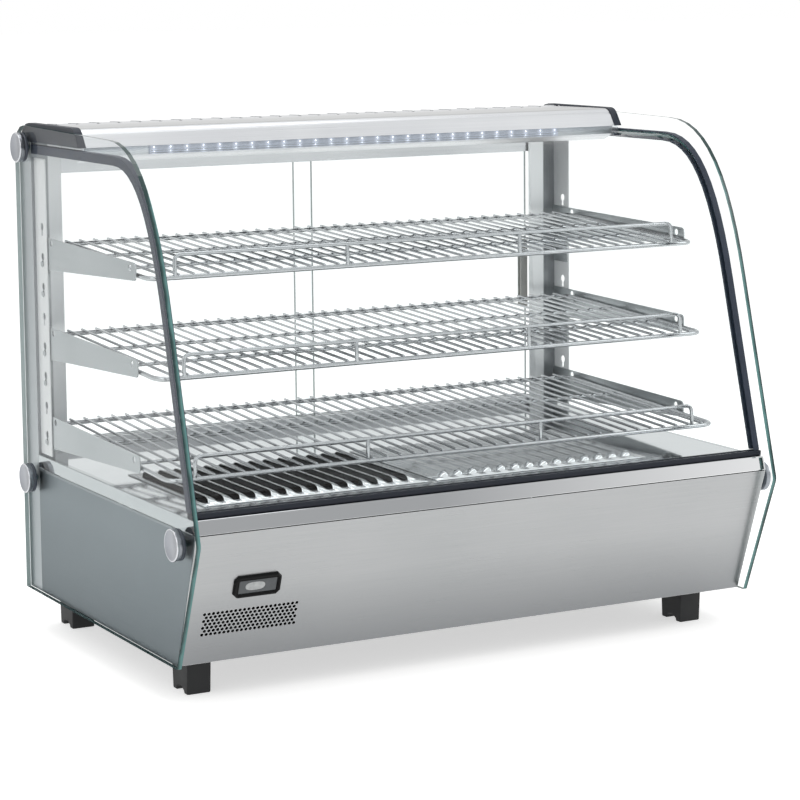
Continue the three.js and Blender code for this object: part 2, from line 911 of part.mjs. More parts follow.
function louvrePlate() {
  const low = deckTop + seat;
  const outline = rectangle(
    louvreLeft,
    louvreLeft + louvre.width,
    louvreRear,
    louvreRear + louvre.depth,
  );
  const centreX = louvreLeft + louvre.width / 2;
  const centre = louvreRear + louvre.depth / 2;
  const slots = [];
  for (let i = 0; i < louvre.slots; i += 1) {
    const x = centreX + (i - (louvre.slots - 1) / 2) * louvre.slotPitch;
    const r = louvre.slotWidth / 2;
    const slot = rounded(
      rectangle(x - r, x + r, centre - louvre.slotLength / 2, centre + louvre.slotLength / 2)
        .map(([a, b]) => [a, b, r * louvre.endShare]),
      louvre.endSteps,
    );
    slots.push(upZ(slot, low - overrun, low + louvre.thickness + overrun));
  }
  const plate = cut(upZ(outline, low, low + louvre.thickness), slots);
  return join(plate, ...louvreHoods(centreX, centre, low + louvre.thickness));
}
add('louvre_plate', louvrePlate(), paint.steel);

// The return plate is its mirror image, so its hoods open to the right
function returnPlate() {
  const shift = returnLeft + louvreLeft + louvre.width;
  return geometryOf(solidOf(louvrePlate()).mirror([1, 0, 0]).translate([shift, 0, 0]));
}
add('return_louvre_plate', returnPlate(), paint.steel);

// Heater box under the louvred plate, with the fan below it
const boxTop = deckUnder - seat;
const boxUnder = boxTop - heaterBox.depth;
const boxCentreX = (louvreHole.x0 + louvreHole.x1) / 2;
const boxCentre = (louvreHole.f0 + louvreHole.f1) / 2;
const heaterHeight = boxTop - heater.below;
const heaterStart = boxCentre - ((heater.runs - 1) / 2) * heater.runPitch;
const heaterEnds = [heaterStart, heaterStart + (heater.runs - 1) * heater.runPitch];

function heaterBoxShell() {
  const { x0, x1, f0, f1 } = louvreHole;
  const w = heaterBox.wall;
  const rim = heaterBox.flange;
  const shell = join(
    block(x0, x1, f0, f1, boxUnder, boxTop),
    block(x0 - rim, x1 + rim, f0 - rim, f1 + rim, boxTop - w, boxTop),
  );
  const inside = block(x0 + w, x1 - w, f0 + w, f1 - w, boxUnder + w, boxTop + overrun);
  const bore = new THREE.CylinderGeometry(fan.bore, fan.bore, w + 2 * overrun, fan.sides);
  bore.rotateX(Math.PI / 2).translate(boxCentreX, back(boxCentre), boxUnder + w / 2);
  const clear = (heater.radius + seat) / Math.cos(Math.PI / heater.sides);
  const passages = heaterEnds.map((forward) =>
    acrossX(ring(forward, heaterHeight, clear, heater.sides), x1 - w - overrun, x1 + overrun));
  return cut(shell, inside, bore, passages);
}
add('heater_box', heaterBoxShell(), paint.aluminium);

function heaterElement() {
  const nearX = louvreHole.x1 + heater.tail;
  const turnX = louvreHole.x1 - heater.endInset;
  const farX = louvreHole.x0 + heater.endInset;
  const corners = [];
  for (let run = 0; run < heater.runs; run += 1) {
    const y = back(heaterStart + run * heater.runPitch);
    const from = run === 0 ? nearX : turnX;
    const to = run === heater.runs - 1 ? nearX : turnX;
    const ends = run % 2 === 0 ? [from, farX] : [farX, to];
    corners.push(...ends.map((x) => [x, y, heaterHeight]));
  }
  return bentWire(bends(corners, heater.runPitch * heater.bendShare, heater.bendSteps), heater.radius, heater.sides);
}
add('heater_element', heaterElement(), paint.steel);

const fanTop = boxUnder - seat;
const fanUnder = fanTop - fan.height;

function upright(radius, low, height, sides) {
  return upZ(ring(boxCentreX, boxCentre, radius, sides), low, low + height);
}

function fanMotor() {
  const half = fan.size / 2;
  const corner = fan.height / 4;
  const frame = upZ(
    rounded(rectangle(boxCentreX - half, boxCentreX + half, boxCentre - half, boxCentre + half)
      .map(([a, b]) => [a, b, corner]), 2),
    fanUnder,
    fanTop,
  );
  const bore = upright(fan.bore, fanUnder - overrun, fan.height + 2 * overrun, fan.sides);
  const reach = fan.bore + weld;
  const s = fan.strutWidth / 2;
  const struts = [
    block(boxCentreX - reach, boxCentreX + reach, boxCentre - s, boxCentre + s, fanUnder, fanUnder + fan.strutHeight),
    block(boxCentreX - s, boxCentreX + s, boxCentre - reach, boxCentre + reach, fanUnder, fanUnder + fan.strutHeight),
  ];
  return join(
    cut(frame, bore),
    ...struts,
    upright(fan.hubRadius, fanUnder, fan.hubHeight, fan.sides),
    upright(fan.shaftRadius, fanUnder + fan.hubHeight - weld, fan.shaftHeight + weld, fan.sides / 2),
  );
}
add('fan_motor', fanMotor(), paint.black);

function fanImpeller() {
  const low = fanUnder + fan.hubHeight + seat;
  const boreTop = fanUnder + fan.hubHeight + fan.shaftHeight + seat;
  const hub = upright(fan.impellerHub, low, boreTop + fan.capThickness - low, fan.sides);
  const middle = low + fan.impellerHeight / 2;
  const inner = fan.impellerHub - fan.bladeRoot;
  const blades = Array.from({ length: fan.blades }, (_, i) => {
    const blade = new THREE.BoxGeometry(fan.impellerRadius - inner, fan.bladeChord, fan.bladeThickness);
    blade.rotateX(THREE.MathUtils.degToRad(fan.bladePitchDegrees));
    blade.translate((fan.impellerRadius + inner) / 2, 0, 0).rotateZ((i / fan.blades) * Math.PI * 2);
    return blade.translate(boxCentreX, back(boxCentre), middle);
  });
  const bore = upright(fan.shaftRadius + seat, low - overrun, boreTop - low + overrun, fan.sides / 2);
  return cut(join(hub, ...blades), bore);
}
add('fan_impeller', fanImpeller(), paint.dark);

// Thermostat body inside the rear panel, its shaft and its knob
const knobFace = rear.panelForward - seat;

function aroundKnob(radius, f0, f1, sides) {
  return alongForward(ring(knobX, controlHeight, radius, sides), f0, f1);
}

function thermostatBody() {
  const front = rear.panelForward + sheet + seat;
  const tabEnd = front + thermostat.depth + thermostat.tabDepth;
  const tab = block(
    knobX - thermostat.tabWidth / 2,
    knobX + thermostat.tabWidth / 2,
    tabEnd - thermostat.tabDepth - weld,
    tabEnd,
    controlHeight - thermostat.tabHeight / 2,
    controlHeight + thermostat.tabHeight / 2,
  );
  return join(
    aroundKnob(thermostat.radius, front, front + thermostat.depth, thermostat.sides),
    aroundKnob(thermostat.shaftRadius, knobFace - thermostat.shaftLength, front + weld, thermostat.sides / 2),
    tab,
  );
}
add('thermostat', thermostatBody(), paint.dark);

function thermostatKnob() {
  const outer = knobFace - knob.depth;
  const count = knob.flutes * 2;
  const grip = Array.from({ length: count }, (_, i) => {
    const angle = (i / count) * Math.PI * 2;
    const radius = knob.gripRadius - (i % 2) * knob.fluteDepth;
    return [knobX + radius * Math.cos(angle), controlHeight + radius * Math.sin(angle)];
  });
  const body = join(
    aroundKnob(knob.radius, knobFace - knob.skirt, knobFace, count),
    alongForward(grip, outer, knobFace - knob.skirt + weld),
  );
  const pointer = block(
    knobX - knob.pointerWidth / 2,
    knobX + knob.pointerWidth / 2,
    outer - overrun,
    outer + knob.pointerDepth,
    controlHeight,
    controlHeight + knob.radius,
  );
  const boreEnd = knobFace - thermostat.shaftLength - seat;
  const bore = aroundKnob(thermostat.shaftRadius + seat, boreEnd, knobFace + overrun, thermostat.sides / 2);
  return cut(body, pointer, bore);
}
add('thermostat_knob', thermostatKnob(), paint.black);

// Two rockers in one bezel
const bezelFace = rear.panelForward - seat - rocker.bezelDepth;
const pocketWidth = rocker.width + 2 * seat;
const pocketSides = [-1, 1].map((side) => switchX + (side * (pocketWidth + rocker.divider)) / 2);

function switchBezel() {
  const half = rocker.bezelWidth / 2;
  const tall = rocker.bezelHeight / 2;
  const deep = rocker.half + rocker.clearance;
  const faceEnd = bezelFace + rocker.bezelDepth;
  const bodyEnd = bezelFace + rocker.bodyDepth;
  const plate = block(
    switchX - half,
    switchX + half,
    bezelFace,
    faceEnd,
    controlHeight - tall,
    controlHeight + tall,
  );
  const body = block(
    switchX - switchHalfWidth,
    switchX + switchHalfWidth,
    faceEnd - weld,
    bodyEnd,
    controlHeight - switchHalfHeight,
    controlHeight + switchHalfHeight,
  );
  const pockets = pocketSides.map((x) => block(
    x - pocketWidth / 2,
    x + pocketWidth / 2,
    bezelFace - overrun,
    bezelFace + rocker.pocket,
    controlHeight - deep,
    controlHeight + deep,
  ));
  return cut(join(plate, body), pockets);
}
add('switch_bezel', switchBezel(), paint.black);

// A rocker's section [out, up] from its pivot, tilted to its rest position
function rockerSection() {
  const tilt = THREE.MathUtils.degToRad(rocker.tiltDegrees);
  const outline = [
    [rocker.rim, -rocker.half],
    [rocker.dish, 0],
    [rocker.rim, rocker.half],
    [0, rocker.half],
    [-rocker.root, rocker.half / 2],
    [-rocker.root, -rocker.half / 2],
    [0, -rocker.half],
  ];
  return outline.map(([out, up]) => [
    bezelFace + rocker.pivotDepth - (out * Math.cos(tilt) - up * Math.sin(tilt)),
    controlHeight + out * Math.sin(tilt) + up * Math.cos(tilt),
  ]);
}
['power_rocker', 'light_rocker'].forEach((name, i) => {
  const x = pocketSides[i];
  add(name, acrossX(rockerSection(), x - rocker.width / 2, x + rocker.width / 2), paint.dark);
});

// Cable gland in the rear panel
function cableGland() {
  const inside = -sheet - seat;
  const profile = [
    [gland.bore, inside - gland.nutDepth],
    [gland.nut, inside - gland.nutDepth],
    [gland.nut, inside],
    [gland.thread, inside],
    [gland.thread, seat],
    [gland.head, seat],
    [gland.head, seat + gland.headDepth / 2],
    [gland.thread, seat + gland.headDepth],
    [gland.bore, seat + gland.headDepth],
    [gland.bore, inside - gland.nutDepth],
  ];
  const turned = new THREE.LatheGeometry(profile.map(([r, h]) => new THREE.Vector2(r, h)), gland.sides);
  return join(turned.translate(glandX, back(rear.panelForward), glandHeight));
}
add('cable_gland', cableGland(), paint.black);

function terminalBlock() {
  const low = baseFloorTop + seat;
  const half = terminals.length / 2;
  const front = terminals.forward + terminals.width;
  const body = block(
    terminalsX - half,
    terminalsX + half,
    terminals.forward,
    front,
    low,
    low + terminals.height,
  );
  const pitch = terminals.length / terminals.ways;
  const grooves = Array.from({ length: terminals.ways - 1 }, (_, i) => {
    const x = terminalsX - half + (i + 1) * pitch;
    const reach = [terminals.forward - overrun, front + overrun];
    const top = low + terminals.height;
    return block(x - terminals.groove / 2, x + terminals.groove / 2, ...reach, top - terminals.grooveDepth, top + overrun);
  });
  return cut(body, grooves);
}
add('terminal_block', terminalBlock(), paint.white);

function ledDriver() {
  const low = baseFloorTop + seat;
  const half = driver.length / 2;
  const front = driver.forward + driver.width;
  return join(
    block(driverX - half, driverX + half, driver.forward, front, low, low + driver.height),
    block(driverX - half - driver.lip, driverX + half + driver.lip, driver.forward, front, low, low + driver.lipHeight),
  );
}
add('led_driver', ledDriver(), paint.aluminium);

// Thermometer set into the front panel
function thermometerUnit() {
  const corners = rectangle(
    thermometerX - thermometer.width / 2,
    thermometerX + thermometer.width / 2,
    thermometer.up - thermometer.height / 2,
    thermometer.up + thermometer.height / 2,
  ).map(([a, b]) => [a, b, thermometer.corner]);
  const bezel = extrude(shapeOf(rounded(corners)), thermometer.proud).translate(0, 0, seat);
  const body = new THREE.BoxGeometry(thermometer.bodyWidth, thermometer.bodyHeight, thermometer.bodyDepth + weld);
  body.translate(thermometerX, thermometer.up, seat + weld - (thermometer.bodyDepth + weld) / 2);
  return join(onFrontPanel(bezel), onFrontPanel(body));
}
add('thermometer', thermometerUnit(), paint.black);

// Feet, with an arch under each
function footBlock(side, front) {
  const middle = front - foot.length / 2;
  const arch = Array.from({ length: foot.archSteps + 1 }, (_, i) => {
    const angle = (i / foot.archSteps) * Math.PI;
    return [middle - (foot.archWidth / 2) * Math.cos(angle), foot.archHeight * Math.sin(angle)];
  });
  const outline = [
    [front - foot.length + foot.taper, 0],
    ...arch,
    [front - foot.taper, 0],
    [front, footHeight],
    [front - foot.length, footHeight],
  ];
  const far = paneOuter - foot.sideInset;
  return acrossX(outline, ...span(side, far - foot.width, far));
}
for (const [side, word] of [[-1, 'left'], [1, 'right']]) {
  add(`front_${word}_foot`, footBlock(side, caseDepth - foot.frontSetback), paint.black);
  add(`rear_${word}_foot`, footBlock(side, foot.rearForward), paint.black);
}

// Rear posts, their keyholes set by the shelf spacing
const highestHole = caseHeight - bracket.firstHole;
const shelfSpacing = (highestHole - deckTop - bracket.lastHole) / (shelf.names.length - 1);
const rearHole = (level) => highestHole - level * shelfSpacing;
const keyholePitch = shelfSpacing / Math.max(Math.round(shelfSpacing / keyhole.pitch), 1);
const keyholeForward = flangeFront - keyhole.setback;
const flangeBottom = deckTop + post.flangeBottomRise;
const flangeTop = housingBottom - post.flangeTopDrop;
const studBelowKeyhole = keyhole.slotLength - keyhole.slotWidth / 2;

function keyholeHeights() {
  const heights = [];
  const lowest = flangeBottom + keyhole.slotLength + keyhole.radius;
  for (let z = rearHole(0) + keyhole.rise; z > lowest; z -= keyholePitch) {
    heights.push(z);
  }
  return heights;
}

function rearPost(side) {
  const w = post.wall;
  const web = insideHalf - post.webWidth;
  const bend = insideHalf - post.bend;
  const lip = insideHalf - post.lip;
  const webFront = postFront - post.webBack;
  const section = [
    [insideHalf, 0],
    [insideHalf, postFront],
    [bend, postFront],
    [web, webFront],
    [web, webFront - w],
    [bend, postFront - w],
    [insideHalf - w, postFront - w],
    [insideHalf - w, w],
    [lip, w],
    [lip, 0],
  ].map(([x, f]) => [side * x, f]);
  const folded = upZ(section, baseFloorUnder, housingBottom - seat);
  const inBase = block(
    ...span(side, web - overrun, postInner),
    0,
    postFront + overrun,
    baseFloorUnder - overrun,
    deckTop + seat,
  );
  const flange = block(
    ...span(side, flangeInner, flangeOuter),
    postFront - weld,
    flangeFront,
    flangeBottom,
    flangeTop,
  );
  const through = span(side, flangeInner - overrun, flangeOuter + overrun);
  const rounds = keyholeHeights().map((z) =>
    acrossX(ring(keyholeForward, z, keyhole.radius, keyhole.sides), ...through));
  const slots = keyholeHeights().map((z) => block(
    ...through,
    keyholeForward - keyhole.slotWidth / 2,
    keyholeForward + keyhole.slotWidth / 2,
    z - keyhole.slotLength,
    z,
  ));
  const bolts = fixingPlaces
    .filter(([, forward]) => forward < postFront)
    .map(([, forward, z]) => acrossX(
      ring(forward, z, fixing.holeRadius, fixing.holeSides),
      ...span(side, insideHalf - w - overrun, insideHalf + overrun),
    ));
  return cut(join(folded, flange), inBase, rounds, slots, bolts);
}
add('left_rear_post', rearPost(-1), paint.steel);
add('right_rear_post', rearPost(1), paint.steel);

// Shelf brackets: an arm on a hook plate, hung in the keyholes by headed studs
const bracketOuter = flangeInner - seat;
const bracketInner = bracketOuter - bracket.thickness;
const shelfHalf = bracketInner - shelf.clearance - shelf.frameRadius;
const bracketTip = caseDepth - bracket.tipSetback;
const wirePitch = (2 * shelfHalf) / (shelf.wires + 1);
const guardHalf = shelfHalf - shelf.guardInset;
const guardInner = guardHalf * shelf.guardInnerShare;

// Height of a shelf's wire plane at a forward place
function shelfHeight(level, forward) {
  return rearHole(level) - shelf.drop - shelf.slopeShare * (forward - shelf.rearForward);
}

function shelfBracket(side, level) {
  const hole = rearHole(level);
  const top = hole + bracket.rise;
  const rearEdge = postFront + seat;
  const tip = bracketTip;
  const hookDrop = bracket.hookDropShare * shelfSpacing;
  const hookBottom = Math.max(top - hookDrop, deckTop + seat + post.flangeBottomRise);
  const outline = rounded([
    [rearEdge, top],
    [tip, top - bracket.tipDrop, bracket.round],
    [tip, top - bracket.tipDrop - bracket.tip, bracket.round],
    [flangeFront, top - bracket.rootDropShare * shelfSpacing, bracket.round],
    [flangeFront, hookBottom, bracket.thickness],
    [rearEdge, hookBottom],
  ], 3);
  const plate = acrossX(outline, ...span(side, bracketInner, bracketOuter));
  const holes = [
    [postFront + bracket.rearHole, hole],
    [tip - bracket.frontHole, hole - bracket.frontHoleDrop],
  ].map(([forward, z]) => acrossX(
    ring(forward, z, bracket.holeRadius, bracket.holeSides),
    ...span(side, bracketInner - overrun, bracketOuter + overrun),
  ));
  const lugs = [postFront + bracket.rearLug, tip - bracket.frontLug].map((start) => {
    const ends = [start, start + bracket.lugLength];
    const tops = ends.map((forward) => shelfHeight(level, forward) - shelf.frameRadius - seat);
    const section = [
      [ends[0], tops[0]],
      [ends[1], tops[1]],
      [ends[1], tops[1] - bracket.lugThickness],
      [ends[0], tops[0] - bracket.lugThickness],
    ];
    return acrossX(section, ...span(side, bracketInner - bracket.lugReach, bracketInner + weld));
  });
  const studHeights = keyholeHeights()
    .map((z) => z - studBelowKeyhole)
    .filter((z) => z < hole && z > hookBottom + bracket.studHead / 2);
  const headStart = flangeOuter + seat;
  const shanks = studHeights.map((z) => acrossX(
    ring(keyholeForward, z, bracket.studRadius, bracket.studSides),
    ...span(side, bracketOuter - weld, headStart + weld / 2),
  ));
  const heads = studHeights.map((z) => acrossX(
    ring(keyholeForward, z, bracket.studHead, bracket.studSides),
    ...span(side, headStart, headStart + bracket.studHeadDepth),
  ));
  return join(cut(plate, holes), lugs, shanks, heads);
}

// Wire shelf: frame, cross wires, supports under them, and a guard rail at the front
function wireShelf(level) {
  const front = caseDepth - shelf.frontSetbacks[level];
  const start = shelf.rearForward;
  const r = shelf.frameRadius;
  const outer = rectangle(-shelfHalf - r, shelfHalf + r, start - r, front + r);
  const inner = rectangle(-shelfHalf + r, shelfHalf - r, start + r, front - r);
  const round = (corners, radius) => rounded(corners.map(([a, b]) => [a, b, radius]), shelf.cornerSteps);
  const frame = cut(
    upZ(round(outer, shelf.cornerRound + r), -r, r),
    upZ(round(inner, shelf.cornerRound - r), -r - overrun, r + overrun),
  );
  const wires = Array.from({ length: shelf.wires }, (_, i) => {
    const x = (i - (shelf.wires - 1) / 2) * wirePitch;
    const low = r - shelf.wireSink;
    return block(
      x - shelf.wireThick / 2,
      x + shelf.wireThick / 2,
      start - r - shelf.wireTail,
      front + r - shelf.wireFrontInset,
      low,
      low + shelf.wireThick,
    );
  });
  const supports = shelf.supportShares.map((share) => {
    const middle = start + share * (front - start);
    const s = shelf.supportRadius;
    const top = r - shelf.wireSink - seat;
    return block(-shelfHalf, shelfHalf, middle - s, middle + s, top - 2 * s, top);
  });
  const y = back(front);
  const railCorners = [
    [-guardHalf, y, 0],
    [-guardHalf, y, shelf.guardHeight],
    [guardHalf, y, shelf.guardHeight],
    [guardHalf, y, 0],
  ];
  const rail = bentWire(bends(railCorners, shelf.guardRound, shelf.cornerSteps), shelf.guardRadius, shelf.sides);
  const posts = [-1, 1].map((side) => bar(
    [side * guardInner, y, 0],
    [side * guardInner, y, shelf.guardHeight],
    shelf.guardRadius,
    shelf.sides,
  ));
  const flat = join(frame, wires, supports, rail, posts);
  flat.translate(0, -back(start), 0).rotateX(Math.atan(shelf.slopeShare));
  return flat.translate(0, back(start), shelfHeight(level, start));
}
shelf.names.forEach((name, level) => {
  add(`left_${name}_bracket`, shelfBracket(-1, level), paint.steel);
  add(`right_${name}_bracket`, shelfBracket(1, level), paint.steel);
  add(`${name}_shelf`, wireShelf(level), paint.plated);
});

// Top housing between two end caps of the same profile
const housingHalf = insideHalf - capThickness - seat;
const slotPitch = (2 * (housingHalf - housing.slotEnd)) / (housing.slotPairs - 1);

function topProfile(frontInset, rearInset) {
  const low = housingBottom - housing.rearRound;
  const noseLow = housing.noseForward - frontInset;
  return rounded([
    [housing.rearForward + rearInset, low],
    [housing.rearForward + rearInset, caseHeight - rearInset, housing.rearRound - rearInset],
    [housing.noseForward - housing.noseTopBack - frontInset / 2, caseHeight - frontInset, housing.noseRound],
    [noseLow, housingBottom],
    [noseLow, low],
  ], 5);
}

function below(height) {
  const rear0 = housing.rearForward - overrun;
  const low = housingBottom - housing.rearRound - overrun;
  return block(-paneOuter, paneOuter, rear0, housing.noseForward + overrun, low, height);
}

function housingSlots() {
  const slots = [];
  for (let i = 0; i < housing.slotPairs; i += 1) {
    const x = (i - (housing.slotPairs - 1) / 2) * slotPitch;
    for (const row of [0, 1]) {
      const f0 = housing.slotRearForward + row * (housing.slotLength + housing.slotRowGap);
      const near = x + (row === 0 ? 0 : housing.slotSkew);
      const far = x + (row === 0 ? housing.slotSkew : 0);
      const outline = [
        [near, f0],
        [near + housing.slotWidth, f0],
        [far + housing.slotWidth, f0 + housing.slotLength],
        [far, f0 + housing.slotLength],
      ];
      slots.push(upZ(outline, caseHeight - housing.slotDepth, caseHeight + overrun));
    }
  }
  return slots;
}

// Open underneath, between a lip over the posts and one over the light
function topHousing() {
  const w = housing.wall;
  const skin = cut(
    acrossX(topProfile(housing.frontInset, housing.rearInset), -housingHalf, housingHalf),
    below(housingBottom),
  );
  const hollow = cut(
    acrossX(
      topProfile(housing.frontInset + w, housing.rearInset + w),
      -housingHalf - overrun,
      housingHalf + overrun,
    ),
    below(housingBottom + w),
  );
  const underneath = block(
    -housingHalf - overrun,
    housingHalf + overrun,
    postFront,
    lamp.rearForward,
    housingBottom - overrun,
    housingBottom + w + weld,
  );
  return cut(skin, hollow, underneath, housingSlots());
}
add('top_housing', topHousing(), paint.aluminium);

function endCap(side) {
  return cut(acrossX(topProfile(0, 0), ...span(side, housingHalf + seat, insideHalf)), below(housingBottom));
}
add('left_end_cap', endCap(-1), paint.dark);
add('right_end_cap', endCap(1), paint.dark);

// Light: an open profile under the housing with a strip of chips on its front
const lampTop = housingBottom - seat;
const lampBottom = lampTop - lamp.drop;
const lampFront = lamp.rearForward + lamp.depth;
const lampKnee = lampTop - lamp.frontHeight;
const boardHalf = lightHalf - lamp.boardInset;
const chipPitch = (2 * (boardHalf - lamp.chipEnd)) / (lamp.chips - 1);

function ledProfile() {
  const w = lamp.wall;
  return acrossX([
    [lamp.rearForward, lampTop],
    [lampFront, lampTop],
    [lampFront, lampKnee],
    [lamp.rearForward, lampBottom],
    [lamp.rearForward, lampBottom + w],
    [lampFront - w, lampKnee + w / 2],
    [lampFront - w, lampTop - w],
    [lamp.rearForward, lampTop - w],
  ], -lightHalf, lightHalf);
}
add('led_profile', ledProfile(), paint.aluminium);

function ledStrip() {
  const boardRear = lampFront + seat;
  const boardFront = boardRear + lamp.boardThickness;
  const top = lampTop - lamp.boardDrop;
  const bottom = top - lamp.boardHeight;
  const middle = top - lamp.chipDrop;
  const chips = Array.from({ length: lamp.chips }, (_, i) => {
    const x = (i - (lamp.chips - 1) / 2) * chipPitch;
    const c = lamp.chip / 2;
    return block(x - c, x + c, boardFront - lamp.boardThickness / 2, boardFront + lamp.chipDepth, middle - c, middle + c);
  });
  return join(block(-boardHalf, boardHalf, boardRear, boardFront, bottom, top), chips);
}
add('led_strip', ledStrip(), paint.light);

// Rear door tracks and doors
const trackHalf = postInner - seat;
const trackEnds = [track.rearForward, track.rearForward + track.depth];
const grooves = [door.innerForward, door.outerForward].map((forward) => [
  forward - track.grooveClearance,
  forward + door.thickness + track.grooveClearance,
]);

function trackRail(low, high, grooveLow, grooveHigh) {
  const rail = block(-trackHalf, trackHalf, ...trackEnds, low, high);
  return cut(rail, grooves.map((ends) =>
    block(-trackHalf - overrun, trackHalf + overrun, ...ends, grooveLow, grooveHigh)));
}
const sillGrooveFloor = sillTop - track.sillGroove;
const headerGrooveTop = headerUnder + track.headerGroove;
add('door_sill_track', trackRail(deckTop + seat, sillTop, sillGrooveFloor, sillTop + overrun), paint.aluminium);
add(
  'door_header_track',
  trackRail(headerUnder, housingBottom - seat, headerUnder - overrun, headerGrooveTop),
  paint.aluminium,
);

const doorEdge = postInner - door.side;
const doorBottom = sillGrooveFloor + seat;
const doorTop = headerGrooveTop - track.lift;

function doorGlass(x0, x1, forward) {
  return block(x0, x1, forward, forward + door.thickness, doorBottom, doorTop);
}
add('left_rear_door', doorGlass(-doorEdge, door.leftMeets, door.innerForward), paint.glass);
add('right_rear_door', doorGlass(door.rightMeets, doorEdge, door.outerForward), paint.glass);

// Edge pull: a channel over the outer edge of a door, halfway up
function doorPull(side, forward) {
  const w = door.pullWall;
  const outer = doorEdge + seat + w;
  const inner = outer - door.pullWidth;
  const f0 = forward - seat - w;
  const f1 = forward + door.thickness + seat + w;
  const outline = [
    [outer, f0],
    [outer, f1],
    [inner, f1],
    [inner, f1 - w],
    [outer - w, f1 - w],
    [outer - w, f0 + w],
    [inner, f0 + w],
    [inner, f0],
  ].map(([x, f]) => [side * x, f]);
  const middle = (sillTop + headerUnder) / 2;
  return upZ(outline, middle - door.pullLength / 2, middle + door.pullLength / 2);
}
add('left_door_pull', doorPull(-1, door.innerForward), paint.white);
add('right_door_pull', doorPull(1, door.outerForward), paint.white);

export default group;
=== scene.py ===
import math
import bmesh
import bpy
from mathutils import Matrix, Vector


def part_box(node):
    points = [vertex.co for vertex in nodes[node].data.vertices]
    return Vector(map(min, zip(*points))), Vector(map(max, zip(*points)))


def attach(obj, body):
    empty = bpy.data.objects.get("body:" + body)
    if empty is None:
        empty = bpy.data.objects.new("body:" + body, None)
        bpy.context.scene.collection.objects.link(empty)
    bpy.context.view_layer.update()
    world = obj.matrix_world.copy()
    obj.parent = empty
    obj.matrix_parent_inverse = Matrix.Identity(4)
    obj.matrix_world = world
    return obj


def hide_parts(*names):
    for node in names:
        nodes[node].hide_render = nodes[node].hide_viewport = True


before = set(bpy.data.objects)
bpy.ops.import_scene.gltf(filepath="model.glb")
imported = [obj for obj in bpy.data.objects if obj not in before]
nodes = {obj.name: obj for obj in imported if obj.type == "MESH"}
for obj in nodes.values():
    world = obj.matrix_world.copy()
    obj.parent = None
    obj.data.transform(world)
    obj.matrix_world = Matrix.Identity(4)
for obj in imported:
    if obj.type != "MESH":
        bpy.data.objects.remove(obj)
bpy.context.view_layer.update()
scene = bpy.context.scene
scene.view_settings.view_transform = "Standard"
mm = 0.001
print("frame loaded:", len(nodes), "nodes")

# How the case is laid out, in mm. Forward runs from the rear edge of the side panes to the viewer.
case = {
    "halfDepth": 288, "paneOuter": 418, "insideHalf": 411.7, "seam": 221,
    "panelLow": 50.3, "panelLowForward": 499.11, "panelLean": 19.81,
}
levels = ("top", "middle", "bottom")
weld = 0.01 * mm  # points nearer than this are one


# The scene's y, in mm, of a spot so far forward of the rear edge
def yOf(forward):
    return case["halfDepth"] - forward


def place(x, forward, z):
    return Vector((x * mm, yOf(forward) * mm, z * mm))


# A spot on the leaning front panel: across, up along it from its lower edge, and out of it
def onPanel(across, up, out=0.0):
    lean = math.radians(case["panelLean"])
    return place(across, case["panelLowForward"] + up * math.sin(lean) + out * math.cos(lean),
                 case["panelLow"] + up * math.cos(lean) - out * math.sin(lean))


# A new object in the scene
def linked(name, data):
    made = bpy.data.objects.new(name, data)
    scene.collection.objects.link(made)
    return made


# Camera: a long lens that looks a little down on the case from its left front
view = {
    "focal": 2617, "centreX": 359.3, "shiftPixels": 100, "yaw": 27.56, "pitch": 6.96,
    "roll": -0.67, "spot": (-1637, -3331, 869), "frame": 800, "sensor": 36, "clip": (0.1, 60),
}


def makeCamera():
    data = bpy.data.cameras.new("camera")
    data.sensor_width = view["sensor"]
    data.lens = view["focal"] * view["sensor"] / view["frame"]
    data.shift_x = (view["frame"] / 2 - view["centreX"]) / view["frame"]
    data.shift_y = -view["shiftPixels"] / view["frame"]
    data.clip_start, data.clip_end = view["clip"]
    camera = linked("camera", data)
    yaw, pitch, roll = (math.radians(view[key]) for key in ("yaw", "pitch", "roll"))
    ahead = Vector((math.sin(yaw) * math.cos(pitch), math.cos(yaw) * math.cos(pitch), -math.sin(pitch)))
    across = Vector((math.cos(yaw), -math.sin(yaw), 0))
    up = across.cross(ahead)
    turnedAcross = across * math.cos(roll) + up * math.sin(roll)
    turnedUp = up * math.cos(roll) - across * math.sin(roll)
    turn = Matrix((turnedAcross, turnedUp, -ahead)).transposed()
    x, y, z = view["spot"]
    camera.matrix_world = Matrix.Translation(Vector((x, y + case["halfDepth"], z)) * mm) @ turn.to_4x4()
    scene.camera = camera


makeCamera()
print("camera set")


# Colours are written as sRGB hex, and Blender wants them linear
def linear(hexText):
    parts = [int(hexText[i:i + 2], 16) / 255 for i in (1, 3, 5)]
    return [p / 12.92 if p <= 0.04045 else ((p + 0.055) / 1.055) ** 2.4 for p in parts] + [1]


# Sockets of a Mix node that blends colours: its first and second colour, and its result
mixFirst, mixSecond, mixResult = 6, 7, 2


# Adds a node. An input that is given a node takes that node's first output.
def addNode(tree, kind, inputs=None, **settings):
    node = tree.nodes.new("ShaderNode" + kind)
    for key, value in settings.items():
        setattr(node, key, value)
    for key, value in (inputs or {}).items():
        if isinstance(value, bpy.types.Node):
            value = value.outputs[0]
        if isinstance(value, bpy.types.NodeSocket):
            tree.links.new(value, node.inputs[key])
        else:
            node.inputs[key].default_value = value
    return node


def newMaterial(name):
    material = bpy.data.materials.new(name)
    material.use_nodes = True
    material.node_tree.nodes.clear()
    return material, material.node_tree


noiseSpan = {"From Min": 0.3, "From Max": 0.7}  # most of a noise texture lies between these
bumpDepth = 0.05 * mm
fadeRight = -0.2  # share of the half width where a zone starts to take on its right-hand colour


